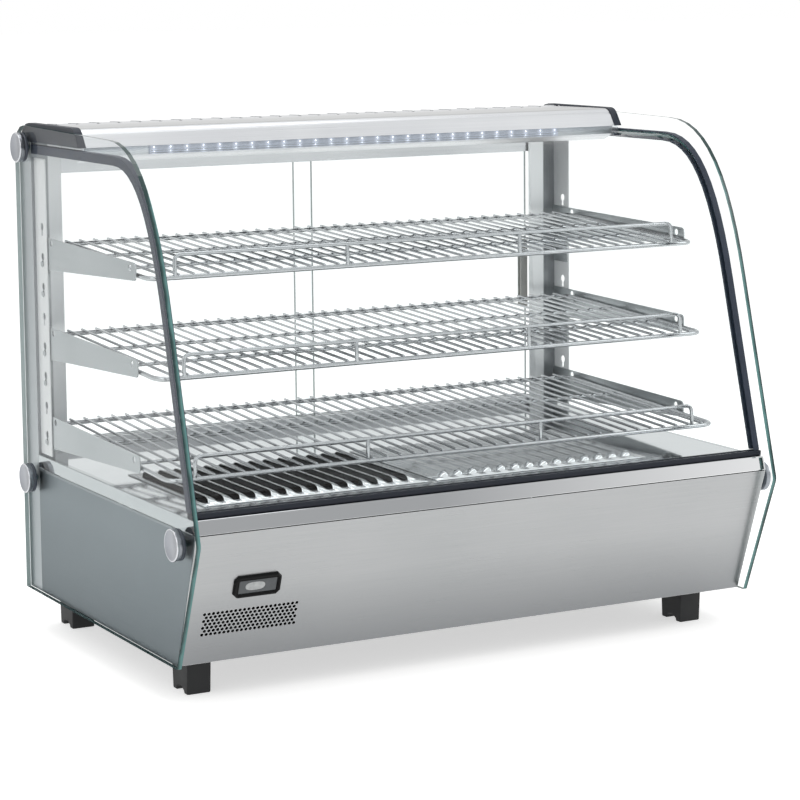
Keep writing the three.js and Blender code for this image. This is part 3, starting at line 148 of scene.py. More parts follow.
# Another tone beyond a line on one axis. Most zones are painted shade and painted highlights, where light
# falls differently on a part.
# Each zone is (axis, from, to in mm, hex colour, sign). Sign 0 takes the distance from the middle plane.
# A sixth value is the colour that the zone has at the right end of the case.
def toneZone(tree, spot, tone, look):
    colour = tone.outputs[mixResult]
    for axis, start, end, hexText, sign, *rightHex in look.get("zones", []):
        where = addNode(tree, "SeparateXYZ", {0: spot})
        target = linear(hexText)
        if rightHex:
            along = addNode(tree, "MapRange", {
                "Value": where.outputs["X"], "From Min": fadeRight * case["insideHalf"] * mm,
                "From Max": case["insideHalf"] * mm})
            target = addNode(tree, "Mix", {
                "Factor": along, mixFirst: target, mixSecond: linear(rightHex[0]),
            }, data_type="RGBA").outputs[mixResult]
        value = where.outputs[axis]
        if sign == 0:
            value = addNode(tree, "Math", {0: value}, operation="ABSOLUTE")
        share = addNode(tree, "MapRange", {
            "Value": value, "From Min": start * mm, "From Max": end * mm})
        colour = addNode(tree, "Mix", {
            "Factor": share, mixFirst: colour, mixSecond: target}, data_type="RGBA").outputs[mixResult]
    return colour


# Stainless sheet, grade 304, brushed. Fine parallel scratches blur what it mirrors and streak its tone.
# A light bloom of finger marks and wiping makes broad patches a little duller.
def brushedSteel(name, grain, look):
    material, tree = newMaterial(name)
    fine = 1 / (look["scratchWidth"] * mm)
    along = 1 / (look["scratchLength"] * mm)
    scale = [along if axis == grain else fine for axis in "XYZ"]
    spot = addNode(tree, "TexCoord").outputs["Object"]
    stretched = addNode(tree, "Mapping", {"Vector": spot, "Scale": scale})
    scratches = addNode(tree, "TexNoise", {
        "Vector": stretched, "Scale": 1.0, "Detail": 4.0, "Roughness": 0.65})
    clouds = addNode(tree, "TexNoise", {
        "Vector": spot, "Scale": 1 / (look["cloudSize"] * mm), "Detail": 2.0})
    rough = addNode(tree, "MapRange", {
        "Value": scratches, **noiseSpan,
        "To Min": look["roughness"] - look["roughSwing"], "To Max": look["roughness"] + look["roughSwing"]})
    mottled = addNode(tree, "Math", {0: scratches, 1: clouds}, operation="ADD")
    share = addNode(tree, "MapRange", {
        "Value": mottled, "From Min": look["mottle"][0], "From Max": look["mottle"][1]})
    tone = addNode(tree, "Mix", {
        "Factor": share, mixFirst: linear(look["dark"]), mixSecond: linear(look["pale"])}, data_type="RGBA")
    bump = addNode(tree, "Bump", {
        "Height": scratches, "Strength": look["bump"], "Distance": bumpDepth})
    colour = toneZone(tree, spot, tone, look)
    metal = 1.0
    if "mattFrom" in look:  # a part that is bead blasted and scatters light
        where = addNode(tree, "SeparateXYZ", {0: spot})
        metal = addNode(tree, "MapRange", {
            "Value": where.outputs["Y"], "From Min": look["mattFrom"] * mm,
            "From Max": (look["mattFrom"] - 1) * mm, "To Min": 1.0, "To Max": look["mattMetal"]})
    # Painted highlight on edges: corners found by the bevel are a shade brighter, standing in for the light
    # that their edges catch
    if look["highlightRadius"]:
        corners = addNode(tree, "Bevel", {"Radius": look["highlightRadius"] * mm}, samples=4)
        surface = addNode(tree, "NewGeometry")
        turnedBy = addNode(tree, "VectorMath", {
            0: corners, 1: surface.outputs["Normal"]}, operation="DOT_PRODUCT")
        edgeHighlight = addNode(tree, "MapRange", {
            "Value": turnedBy.outputs["Value"], "From Min": look["highlightFrom"], "From Max": look["highlightTo"]})
        colour = addNode(tree, "Mix", {
            "Factor": edgeHighlight, mixFirst: colour, mixSecond: linear(look["edgeHighlight"]),
        }, data_type="RGBA").outputs[mixResult]
    shader = addNode(tree, "BsdfPrincipled", {
        "Base Color": colour, "Metallic": metal, "Roughness": rough, "Normal": bump})
    addNode(tree, "OutputMaterial", {"Surface": shader})
    return material


# Scratches on the real sheet are 0.1 to 0.3 mm wide, too fine to show, so they are drawn at about 1 mm.
# The painted edge highlight is told by how far the bevelled normal turns from the face: none at its From
# limit, full at its To limit.
sheetLook = {
    "pale": "#b7b9ba", "dark": "#abadae", "edgeHighlight": "#e4e6e7", "highlightRadius": 0.8, "highlightFrom": 0.98, "highlightTo": 0.8,
    "roughness": 0.3, "roughSwing": 0.03, "scratchWidth": 1.1, "scratchLength": 110, "cloudSize": 140,
    "mottle": (0.7, 1.3), "bump": 0.1,
}
# Front and rear panel: the sheet's tone darkens towards the bench, a painted shade standing in for the
# shadowed floor that the panel mirrors there
panelLook = dict(sheetLook, pale="#aaabac", dark="#a0a2a3", cloudSize=260,
                 zones=[("Z", 150, 50, "#8c8e90", 1)])
steelPanel = brushedSteel("brushed_stainless_front", "X", panelLook)
# Side panels: behind the glass they look bluer and smoother, without bright edges. Their darker, bluer tone
# and its darkening towards the bottom are painted shade on the same sheet
sideLook = dict(sheetLook, pale="#868d91", dark="#7f868a", cloudSize=220, roughness=0.45, bump=0.04,
                highlightRadius=0, zones=[("Z", 190, 60, "#6c7377", 1)])
steelSide = brushedSteel("brushed_stainless_side", "Y", sideLook)
bracketLook = dict(sheetLook, pale="#a9adaf", dark="#999ea0")
steelBracket = brushedSteel("brushed_stainless_bracket", "Y", bracketLook)
# Rear posts: the keyholed flange is bead blasted. The paler inner half of the front face and the near white
# tone forward of the flange are painted reflection and highlight, standing in for the post's mirror-bright
# polish
post = {"innerHalf": 387, "outerFace": 410.9, "flangeFrom": 42.6}
postLook = dict(sheetLook, pale="#a0a3a6", dark="#8f9396", roughness=0.34,
                mattFrom=yOf(post["flangeFrom"]), mattMetal=0.1)
postLook["zones"] = [
    ("X", post["innerHalf"] + 1.5, post["innerHalf"], "#dfe1e2", 0),
    ("Y", yOf(post["flangeFrom"]), yOf(post["flangeFrom"] + 1), "#f4f5f6", 1),
    ("X", post["outerFace"], post["outerFace"] + 0.6, "#a3a7aa", 0),
]
steelUpright = brushedSteel("brushed_stainless_upright", "Z", postLook)
# The deck is polished after rolling: it mirrors the shelves, with only faint wiping marks.
# Its side edges are darker. Its front rail is painted darker, fading paler to the right: painted shade and
# highlight for the shadowed floor and bright light that the rail mirrors.
deck = {"sideEdge": 403.5, "railFrom": 552}
mirrorLook = dict(sheetLook, pale="#cfd1d3", dark="#c2c5c7", roughness=0.06, scratchWidth=2, bump=0.06)
mirrorLook["zones"] = [
    ("X", deck["sideEdge"], deck["sideEdge"] + 2, "#a9aeb0", 0),
    ("Y", yOf(deck["railFrom"]), yOf(deck["railFrom"] + 3), "#9fa1a3", 1, "#e3e4e5"),
]
mirrorDeck = brushedSteel("polished_stainless_deck", "X", mirrorLook)
# Louvred plates: brushed like the sheet, and paler at their front ends, a painted highlight where the hoods'
# rounded ends catch the light
louvreLook = dict(sheetLook, pale="#b4b7b9", dark="#a3a6a8", roughness=0.22,
                  zones=[("Y", yOf(456), yOf(463), "#dde0e2", 1)])
louvreSteel = brushedSteel("brushed_stainless_louvres", "Y", louvreLook)
# Hidden sheet of the base: dull and dark, a painted shade for the dark inside of the base
innerLook = dict(sheetLook, pale="#1d1e20", dark="#141517", edgeHighlight="#2c2d2f", roughness=0.6, scratchWidth=3,
                 scratchLength=20)
steelInner = brushedSteel("inner_sheet_painted_shade", "X", innerLook)
# Clear anodised aluminium extrusion: satin, with fine die lines along it
extrusionLook = dict(sheetLook, pale="#d7d9db", dark="#cbcdd0", scratchWidth=1.6, scratchLength=300, bump=0.2)
anodised = brushedSteel("anodised_aluminium", "X", extrusionLook)
# Top housing: its flat top is greyer than the nose, a painted shade for how the light falls on the top
housingLook = dict(extrusionLook, zones=[("Z", 683.2, 684.4, "#b2b3b3", 1)])
housingMetal = brushedSteel("anodised_aluminium_housing", "X", housingLook)


# Float glass, tempered, with ground edges. Clear over its face; the iron in it turns the edges green.
def floatGlass(name, faceAxes, look):
    material, tree = newMaterial(name)
    surface = addNode(tree, "NewGeometry")
    parts = addNode(tree, "SeparateXYZ", {0: surface.outputs["True Normal"]})
    flatness = None
    for axis in faceAxes:
        size = addNode(tree, "Math", {0: parts.outputs[axis]}, operation="ABSOLUTE")
        if flatness:
            size = addNode(tree, "Math", {0: flatness, 1: size}, operation="MAXIMUM")
        flatness = size
    edge = addNode(tree, "Math", {0: flatness, 1: look["edgeLimit"]}, operation="LESS_THAN")
    # Schlick's rule for the share that a glass face mirrors
    facing = addNode(tree, "LayerWeight", {"Blend": 0.5})
    steep = addNode(tree, "Math", {0: facing.outputs["Facing"], 1: 5.0}, operation="POWER")
    mirrored = addNode(tree, "MapRange", {
        "Value": steep, "To Min": look["mirror"], "To Max": look["mirrorSteep"]})
    # Only the first face that light meets from outside mirrors: one reflection stands for the pair
    limits = [addNode(tree, "Math", {0: 1.0, 1: surface.outputs["Backfacing"]}, operation="SUBTRACT")]
    spot = addNode(tree, "TexCoord").outputs["Object"]
    where = addNode(tree, "SeparateXYZ", {0: spot})
    if look["outerOnly"]:
        away = addNode(tree, "Math", {
            0: where.outputs["X"], 1: parts.outputs["X"]}, operation="MULTIPLY")
        # Against the sheet of the base the pane shows the sheet's own sheen, not a second reflection
        limits += [addNode(tree, "Math", {0: value, 1: least}, operation="GREATER_THAN")
                   for value, least in ((away, 0.0), (where.outputs["Z"], case["seam"] * mm))]
    for limit in limits:
        mirrored = addNode(tree, "Math", {0: mirrored, 1: limit}, operation="MULTIPLY")
    wipes = addNode(tree, "TexNoise", {
        "Vector": spot, "Scale": 1 / (look["wipeSize"] * mm), "Detail": 3.0})
    polish = addNode(tree, "MapRange", {"Value": wipes, "To Min": 0.0, "To Max": look["haze"]})
    clear = addNode(tree, "BsdfTransparent", {"Color": linear(look["tint"])})
    gloss = addNode(tree, "BsdfGlossy", {"Color": linear("#ffffff"), "Roughness": polish})
    face = addNode(tree, "MixShader", {0: mirrored, 1: clear, 2: gloss})
    # Ground edge: deep green along its outer arris, paler towards the inside, and uneven along its length
    streaks = addNode(tree, "TexNoise", {
        "Vector": spot, "Scale": 1 / (look["edgeStreak"] * mm), "Detail": 3.0})
    outward = addNode(tree, "Math", {0: where.outputs["X"]}, operation="ABSOLUTE")
    across = addNode(tree, "MapRange", {
        "Value": outward, "From Min": look["edgeInner"] * mm, "From Max": look["edgeOuter"] * mm,
        "To Min": look["edgeSlant"], "To Max": -look["edgeSlant"]})
    mixed = addNode(tree, "Math", {0: streaks, 1: across}, operation="ADD")
    # Edges that face up see less light inside the glass and look darker
    upward = addNode(tree, "MapRange", {
        "Value": parts.outputs["Z"], "From Min": look["upFrom"], "From Max": look["upTo"],
        "To Min": 0.0, "To Max": look["upShade"]})
    mixed = addNode(tree, "Math", {0: mixed, 1: upward}, operation="SUBTRACT")
    depth = addNode(tree, "MapRange", {"Value": mixed, **noiseSpan})
    green = addNode(tree, "Mix", {
        "Factor": depth, mixFirst: linear(look["edgeDeep"]), mixSecond: linear(look["edgePale"]),
    }, data_type="RGBA")
    # The rear edge looks into open air, so it is much paler: a painted light for the bright backdrop seen
    # through it
    rearward = addNode(tree, "MapRange", {
        "Value": where.outputs["Y"], "From Min": yOf(look["rearFrom"]) * mm,
        "From Max": yOf(look["rearTo"]) * mm})
    paler = addNode(tree, "Mix", {
        "Factor": rearward, mixFirst: green.outputs[mixResult], mixSecond: linear(look["edgeRear"]),
    }, data_type="RGBA")
    rim = addNode(tree, "BsdfPrincipled", {
        "Base Color": paler.outputs[mixResult], "Roughness": look["edgeRough"], "IOR": 1.52})
    whole = addNode(tree, "MixShader", {0: edge, 1: face, 2: rim})
    addNode(tree, "OutputMaterial", {"Surface": whole})
    return material


glassLook = {
    "tint": "#fbfcfc", "mirror": 0.014, "mirrorSteep": 0.45, "haze": 0.02, "wipeSize": 60, "edgeLimit": 0.7,
    "edgeDeep": "#0f3837", "edgePale": "#5f918f", "edgeRear": "#b4c4c3", "edgeStreak": 40, "edgeRough": 0.2,
    "edgeInner": 412, "edgeOuter": 418, "edgeSlant": 0.35, "upFrom": 0.35, "upTo": 0.9, "upShade": 0.6,
    "rearFrom": 1.5, "rearTo": 0.5, "outerOnly": True,
}
paneGlass = floatGlass("side_pane_glass", ["X"], glassLook)
frontGlass = floatGlass("bent_front_glass", ["Y", "Z"], dict(glassLook, tint="#fdfefe", outerOnly=False))
# The doors are thinner and are seen edge on, where they show as grey lines
doorLook = dict(glassLook, tint="#fdfefe", edgeDeep="#8f9a9a", edgePale="#b9c1c1", outerOnly=False)
doorGlass = floatGlass("door_glass", ["Y"], doorLook)


# Silicone strip over the top edge of the front glass, extruded: faintly milky, so the light shows through
def clearSilicone(look):
    material, tree = newMaterial("extruded_silicone")
    spot = addNode(tree, "TexCoord").outputs["Object"]
    haze = addNode(tree, "TexNoise", {
        "Vector": spot, "Scale": 1 / (look["hazeSize"] * mm), "Detail": 2.0})
    tint = addNode(tree, "Mix", {
        "Factor": haze, mixFirst: linear(look["pale"]), mixSecond: linear(look["clear"])}, data_type="RGBA")
    through = addNode(tree, "BsdfTransparent", {"Color": tint.outputs[mixResult]})
    milk = addNode(tree, "BsdfPrincipled", {
        "Base Color": linear(look["milk"]), "Roughness": look["roughness"], "IOR": 1.41})
    share = addNode(tree, "MapRange", {
        "Value": haze, "To Min": look["milkiness"], "To Max": look["milkiness"] + look["milkSwing"]})
    whole = addNode(tree, "MixShader", {0: share, 1: through, 2: milk})
    addNode(tree, "OutputMaterial", {"Surface": whole})
    return material


milkySilicone = clearSilicone({
    "pale": "#f0f3f6", "clear": "#fbfcfd", "milk": "#f2f4f6", "milkiness": 0.12, "milkSwing": 0.05,
    "roughness": 0.3, "hazeSize": 30})


# Plastics and rubber: dull skins whose grain comes from the mould
def mouldedSkin(name, look):
    material, tree = newMaterial(name)
    spot = addNode(tree, "TexCoord").outputs["Object"]
    grains = addNode(tree, "TexNoise", {
        "Vector": spot, "Scale": 1 / (look["grainSize"] * mm), "Detail": 3.0})
    wear = addNode(tree, "TexNoise", {
        "Vector": spot, "Scale": 1 / (look["wearSize"] * mm), "Detail": 2.0})
    tone = addNode(tree, "Mix", {
        "Factor": wear, mixFirst: linear(look["dark"]), mixSecond: linear(look["pale"])}, data_type="RGBA")
    rough = addNode(tree, "MapRange", {
        "Value": wear, "To Min": look["roughness"] - look["roughSwing"],
        "To Max": look["roughness"] + look["roughSwing"]})
    bump = addNode(tree, "Bump", {
        "Height": grains, "Strength": look["bump"], "Distance": bumpDepth})
    shader = addNode(tree, "BsdfPrincipled", {
        "Base Color": tone.outputs[mixResult], "Roughness": rough, "Normal": bump,
        "IOR": look["ior"], "Specular IOR Level": look["gloss"]})
    addNode(tree, "OutputMaterial", {"Surface": shader})
    return material


skinLook = {
    "roughness": 0.5, "roughSwing": 0.08, "grainSize": 1.0, "wearSize": 25, "bump": 0.3, "ior": 1.53,
    "gloss": 0.5,
}
# EPDM gasket, extruded: matt blue-black with a faint bloom
rubberLook = dict(skinLook, grainSize=1.2, wearSize=30, ior=1.5, gloss=0.35)
gasketRubber = mouldedSkin("epdm_gasket", dict(rubberLook, pale="#3a4353", dark="#2a313f"))
# The bottom gasket lies in the shade of the glass and is darker
lowRubber = mouldedSkin("epdm_gasket_low", dict(rubberLook, pale="#1f2530", dark="#161b25", gloss=0.3))
# End caps of the housing: moulded nylon, dyed blue-black
capNylon = mouldedSkin("moulded_nylon_cap", dict(skinLook, pale="#2a303c", dark="#1f2530", gloss=0.35))
# Heater box: aluminised steel with a film of dust, grey and cloudy
dustySheet = mouldedSkin("aluminised_dusty_sheet", dict(
    skinLook, pale="#c9ccce", dark="#a6a9ac", roughness=0.45, grainSize=3, wearSize=60, bump=0.1, ior=1.5))
# ABS, moulded against a lightly sparked tool: black, low sheen
blackAbs = mouldedSkin("moulded_abs_black", dict(
    skinLook, pale="#1d1f21", dark="#131416", roughness=0.38, grainSize=0.8, wearSize=15, bump=0.25))
# Glass-filled nylon, moulded: dark grey and duller
darkNylon = mouldedSkin("moulded_nylon_dark", dict(skinLook, pale="#414853", dark="#333a44", bump=0.35))
whiteNylon = mouldedSkin("moulded_nylon_white", dict(
    skinLook, pale="#e2e2de", dark="#d2d2cd", wearSize=12, bump=0.2))
# Natural rubber foot, compression moulded: near black, matt
footRubber = mouldedSkin("moulded_rubber_foot", dict(
    skinLook, pale="#131517", dark="#0c0e10", roughness=0.6, grainSize=1.4, wearSize=20, bump=0.4, ior=1.5))
# Thermometer: polished ABS bezel, smoked acrylic window and the film of the display, whose pale patch is
# partly a painted highlight
glossyAbs = mouldedSkin("polished_abs_black", dict(
    skinLook, pale="#0d0e0f", dark="#070809", roughness=0.34, grainSize=1.5, wearSize=15, bump=0.1,
    ior=1.5, gloss=0.15))
smokedWindow = mouldedSkin("smoked_acrylic", dict(
    skinLook, pale="#5d6164", dark="#494d50", roughness=0.14, grainSize=3, wearSize=8, bump=0.02, ior=1.49))
displayAndGlare = mouldedSkin("display_film_and_glare", dict(
    skinLook, pale="#dfe1e1", dark="#9fa2a3", roughness=0.4, grainSize=2, wearSize=6, bump=0.05, ior=1.5))


# Bare metal without a grain: chrome plate on drawn wire, turned aluminium and a heater's sheath
def brightMetal(name, look):
    material, tree = newMaterial(name)
    spot = addNode(tree, "TexCoord").outputs["Object"]
    marks = addNode(tree, "TexNoise", {
        "Vector": spot, "Scale": 1 / (look["markSize"] * mm), "Detail": 3.0})
    tone = addNode(tree, "Mix", {
        "Factor": marks, mixFirst: linear(look["dark"]), mixSecond: linear(look["pale"])}, data_type="RGBA")
    rough = addNode(tree, "MapRange", {
        "Value": marks, **noiseSpan,
        "To Min": look["roughness"] - look["roughSwing"], "To Max": look["roughness"] + look["roughSwing"]})
    shader = addNode(tree, "BsdfPrincipled", {
        "Base Color": tone.outputs[mixResult], "Metallic": 1.0, "Roughness": rough})
    addNode(tree, "OutputMaterial", {"Surface": shader})
    return material


chromeWire = brightMetal("chrome_plated_wire", {
    "pale": "#bdbfc1", "dark": "#a9acaf", "roughness": 0.16, "roughSwing": 0.04, "markSize": 12})
satinCap = brightMetal("satin_turned_aluminium", {
    "pale": "#a0a3a9", "dark": "#8f9298", "roughness": 0.36, "roughSwing": 0.05, "markSize": 3})
# The cap's chamfer is cut with a diamond tool and is smoother; its paler tone is a painted highlight along
# the rim
polishedRim = brightMetal("diamond_cut_aluminium", {
    "pale": "#cfd1d4", "dark": "#bfc1c5", "roughness": 0.16, "roughSwing": 0.03, "markSize": 6})
# Heater sheath: nickel alloy tube, oxidised dull by heat
heaterSheath = brightMetal("oxidised_heater_sheath", {
    "pale": "#86807b", "dark": "#5f5c59", "roughness": 0.5, "roughSwing": 0.1, "markSize": 9})


# LED board: white solder mask. Each chip's cold white light spills a little on the board round it; this is
# painted light, a glow in the board, faint everywhere and stronger round each chip.
def ledBoard(look):
    material, tree = newMaterial("led_board")
    spot = addNode(tree, "TexCoord").outputs["Object"]
    parts = addNode(tree, "SeparateXYZ", {0: spot})
    weave = addNode(tree, "TexNoise", {
        "Vector": spot, "Scale": 1 / (look["weave"] * mm), "Detail": 2.0})
    mask = addNode(tree, "Mix", {
        "Factor": weave, mixFirst: linear(look["maskDark"]), mixSecond: linear(look["maskPale"]),
    }, data_type="RGBA")
    board = addNode(tree, "BsdfPrincipled", {
        "Base Color": mask.outputs[mixResult], "Roughness": look["roughness"]})
    # Distance along the strip to the nearest chip, in pitches, fades the spill
    pitch = look["pitch"] * mm
    steps = addNode(tree, "Math", {0: parts.outputs["X"], 1: pitch}, operation="DIVIDE")
    nearest = addNode(tree, "Math", {0: steps}, operation="ROUND")
    aside = addNode(tree, "Math", {0: steps, 1: nearest}, operation="SUBTRACT")
    apart = addNode(tree, "Math", {0: aside}, operation="ABSOLUTE")
    halo = addNode(tree, "MapRange", {
        "Value": apart, "From Min": 0.0, "From Max": look["haloWidth"] / look["pitch"],
        "To Min": look["spill"], "To Max": look["between"]}, interpolation_type="SMOOTHSTEP")
    glow = addNode(tree, "Emission", {"Color": linear(look["light"]), "Strength": halo})
    whole = addNode(tree, "AddShader", {0: board, 1: glow})
    addNode(tree, "OutputMaterial", {"Surface": whole})
    return material


# The lens of a chip: clear gel over the die, lit a little unevenly
def ledLens(look):
    material, tree = newMaterial("led_lens")
    spot = addNode(tree, "TexCoord").outputs["Object"]
    grain = addNode(tree, "TexNoise", {
        "Vector": spot, "Scale": 1 / (look["gelGrain"] * mm), "Detail": 1.0})
    power = addNode(tree, "MapRange", {
        "Value": grain, "To Min": look["glowLow"], "To Max": look["glowHigh"]})
    glow = addNode(tree, "Emission", {"Color": linear(look["light"]), "Strength": power})
    addNode(tree, "OutputMaterial", {"Surface": glow})
    return material


ledLook = {
    "light": "#eef3ff", "glowLow": 4, "glowHigh": 6, "gelGrain": 1.5, "pitch": 23.4, "haloWidth": 6.5,
    "spill": 0.5, "between": 0.14, "maskDark": "#b4bac8", "maskPale": "#c6cbd8", "roughness": 0.45,
    "weave": 2,
}
ledMaterial = ledBoard(ledLook)
lensMaterial = ledLens(ledLook)

finishes = {
    "left_side_glass": paneGlass, "right_side_glass": paneGlass, "front_glass": frontGlass,
    "left_rear_door": doorGlass, "right_rear_door": doorGlass,
    "left_glass_gasket": gasketRubber, "right_glass_gasket": gasketRubber,
    "bottom_glass_gasket": lowRubber, "glass_top_seal": milkySilicone,
    "base_left_panel": steelSide, "base_right_panel": steelSide, "base_floor": steelInner,
    "base_rear_panel": steelPanel, "base_front_panel": steelPanel, "deck": mirrorDeck,
    "louvre_plate": louvreSteel, "return_louvre_plate": louvreSteel, "heater_box": dustySheet,
    "heater_element": heaterSheath, "fan_motor": blackAbs, "fan_impeller": darkNylon,
    "thermostat": darkNylon, "thermostat_knob": blackAbs, "switch_bezel": blackAbs,
    "power_rocker": darkNylon, "light_rocker": darkNylon, "cable_gland": blackAbs,
    "terminal_block": whiteNylon, "led_driver": steelInner, "thermometer": blackAbs,
    "left_rear_post": steelUpright, "right_rear_post": steelUpright,
    "top_housing": housingMetal, "left_end_cap": capNylon, "right_end_cap": capNylon,
    "led_profile": anodised, "led_strip": ledMaterial,
    "door_sill_track": anodised, "door_header_track": anodised,
    "left_door_pull": whiteNylon, "right_door_pull": whiteNylon,
}
for level in levels:
    finishes[f"{level}_shelf"] = chromeWire
    finishes[f"left_{level}_bracket"] = finishes[f"right_{level}_bracket"] = steelBracket
for name in nodes:
    if name.endswith("_fixing"):
        finishes[name] = satinCap
    if name.endswith("_foot"):
        finishes[name] = footRubber
for name, node in nodes.items():
    for index in range(len(node.material_slots)):
        node.material_slots[index].material = finishes[name]
print("finishes given to", len(finishes), "nodes")

# Folded and cut edges are rounded by about the bend radius of the sheet, so that they catch the light
sharpFrom = math.radians(35)
edgeRounds = {
    "deck": 0.9, "base_left_panel": 0.7, "base_right_panel": 0.7, "base_rear_panel": 0.5, "top_housing": 0.8,
    "left_end_cap": 0.8, "right_end_cap": 0.8, "led_profile": 0.5, "door_sill_track": 0.4,
    "door_header_track": 0.4, "left_rear_post": 0.4, "right_rear_post": 0.4, "switch_bezel": 0.7,
    "power_rocker": 0.5, "light_rocker": 0.5, "terminal_block": 0.3, "led_driver": 0.5, "left_door_pull": 0.8,
    "right_door_pull": 0.8, "thermostat_knob": 0.4,
}
for name in nodes:
    if name.endswith("_bracket"):
        edgeRounds[name] = 0.35
    if name.endswith("_foot"):
        edgeRounds[name] = 1.5
    if name.endswith("_gasket"):
        edgeRounds[name] = 0.8
for name, radius in edgeRounds.items():
    merge = nodes[name].modifiers.new("merge", "WELD")
    merge.merge_threshold = weld
    edges = nodes[name].modifiers.new("edges", "BEVEL")
    edges.width = radius * mm
    edges.segments = 2
    edges.limit_method = "ANGLE"
    edges.angle_limit = sharpFrom
print("edges rounded on", len(edgeRounds), "nodes")


def addPiece(name, shapes, material, body="cabinet", standsFor=(), smooth=True):
    points, faces = [], []
    for shapePoints, shapeFaces in shapes:
        start = len(points)
        points.extend(shapePoints)
        faces.extend([[start + i for i in face] for face in shapeFaces])
    mesh = bpy.data.meshes.new(name)
    mesh.from_pydata([tuple(p) for p in points], [], faces)
    mesh.polygons.foreach_set("use_smooth", [smooth] * len(mesh.polygons))
    mesh.materials.append(material)
    piece = linked(name, mesh)
    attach(piece, body)
    if standsFor:
        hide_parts(*standsFor)


# A direction square to this one
def sideways(direction):
    helper = Vector((0, 0, 1)) if abs(direction.z) < 0.9 else Vector((1, 0, 0))
    return direction.cross(helper).normalized()


def circle(centre, across, other, radius, sides):
    turns = [2 * math.pi * k / sides for k in range(sides)]
    return [centre + (across * math.cos(t) + other * math.sin(t)) * radius for t in turns]


# Faces between rings of points, each ring given by the number of its first point, and faces over the ends
def skin(rings, sides, low=True, high=True):
    faces = []
    for a, b in zip(rings, rings[1:]):
        for k in range(sides):
            n = (k + 1) % sides
            faces.append([a + k, a + n, b + n, b + k])
    if low:
        faces.append([rings[0] + k for k in reversed(range(sides))])
    if high:
        faces.append([rings[-1] + k for k in range(sides)])
    return faces


wireTip = ((0.9, 0.45), (0.55, 0.85))  # a wire's rounded end: how far out and how wide, in radii


# A round wire along points, with its ends rounded off
def wire(path, radius, sides, closed=False):
    points, rings, tangents = [], [], []
    count = len(path)
    for i in range(count):
        ahead = path[(i + 1) % count] if closed or i < count - 1 else path[i]
        behind = path[(i - 1) % count] if closed or i > 0 else path[i]
        tangents.append((ahead - behind).normalized())
    tip = [(out * radius, size * radius) for out, size in wireTip]
    across = sideways(tangents[0])
    for i, tangent in enumerate(tangents):
        across = (across - tangent * across.dot(tangent)).normalized()
        steps = [(0, radius)]
        if not closed and i == 0:
            steps = [(-out, size) for out, size in tip] + steps
        elif not closed and i == count - 1:
            steps += reversed(tip)
        for shift, size in steps:
            rings.append(len(points))
            points += circle(path[i] + tangent * shift, across, tangent.cross(across), size, sides)
    if closed:
        rings.append(0)
    return points, skin(rings, sides, not closed, not closed)


# Points of a wire bent round at its inner corners
def bent(corners, radius, steps=6, closed=False):
    path = []
    count = len(corners)
    for i, corner in enumerate(corners):
        if not closed and i in (0, count - 1):
            path.append(corner)
            continue
        before = (corners[i - 1] - corner).normalized()
        after = (corners[(i + 1) % count] - corner).normalized()
        start, end = corner + before * radius, corner + after * radius
        for k in range(steps + 1):
            t = k / steps
            path.append(start * (1 - t) ** 2 + corner * 2 * t * (1 - t) + end * t * t)
    return path


leastRadius = 0.001  # a turned profile ends this near to its axis, in mm


# A profile [radius, height] turned about an axis that starts at a spot
def turned(profile, spot, axis, sides):
    across = sideways(axis)
    other = axis.cross(across)
    points = []
    for radius, height in profile:
        points += circle(spot + axis * (height * mm), across, other, max(radius, leastRadius) * mm, sides)
    return points, skin(range(0, len(points), sides), sides)


# Wire shelves: a bent frame, cross wires on two support wires, and a guard rail with two stays at the front
shelf = {
    "half": 400, "rearForward": 88, "fronts": {"top": 408, "middle": 430, "bottom": 458},
    "rearHeights": {"top": 526, "middle": 406, "bottom": 286}, "slope": 0.047,
    "frameRadius": 3, "corner": 18, "wires": 39, "pitch": 20, "wireRadius": 1.75, "wireUp": 3.55,
    "tail": 8, "frontTail": 2, "supportRadius": 2.2, "supportUp": -0.3, "supportShares": (0.36, 0.7),
    "guardHalf": 365, "guardInner": 127, "guardHeight": 28, "guardCorner": 9, "guardRadius": 2.5,
    "frameSides": 14, "wireSides": 10, "guardSides": 12,
}


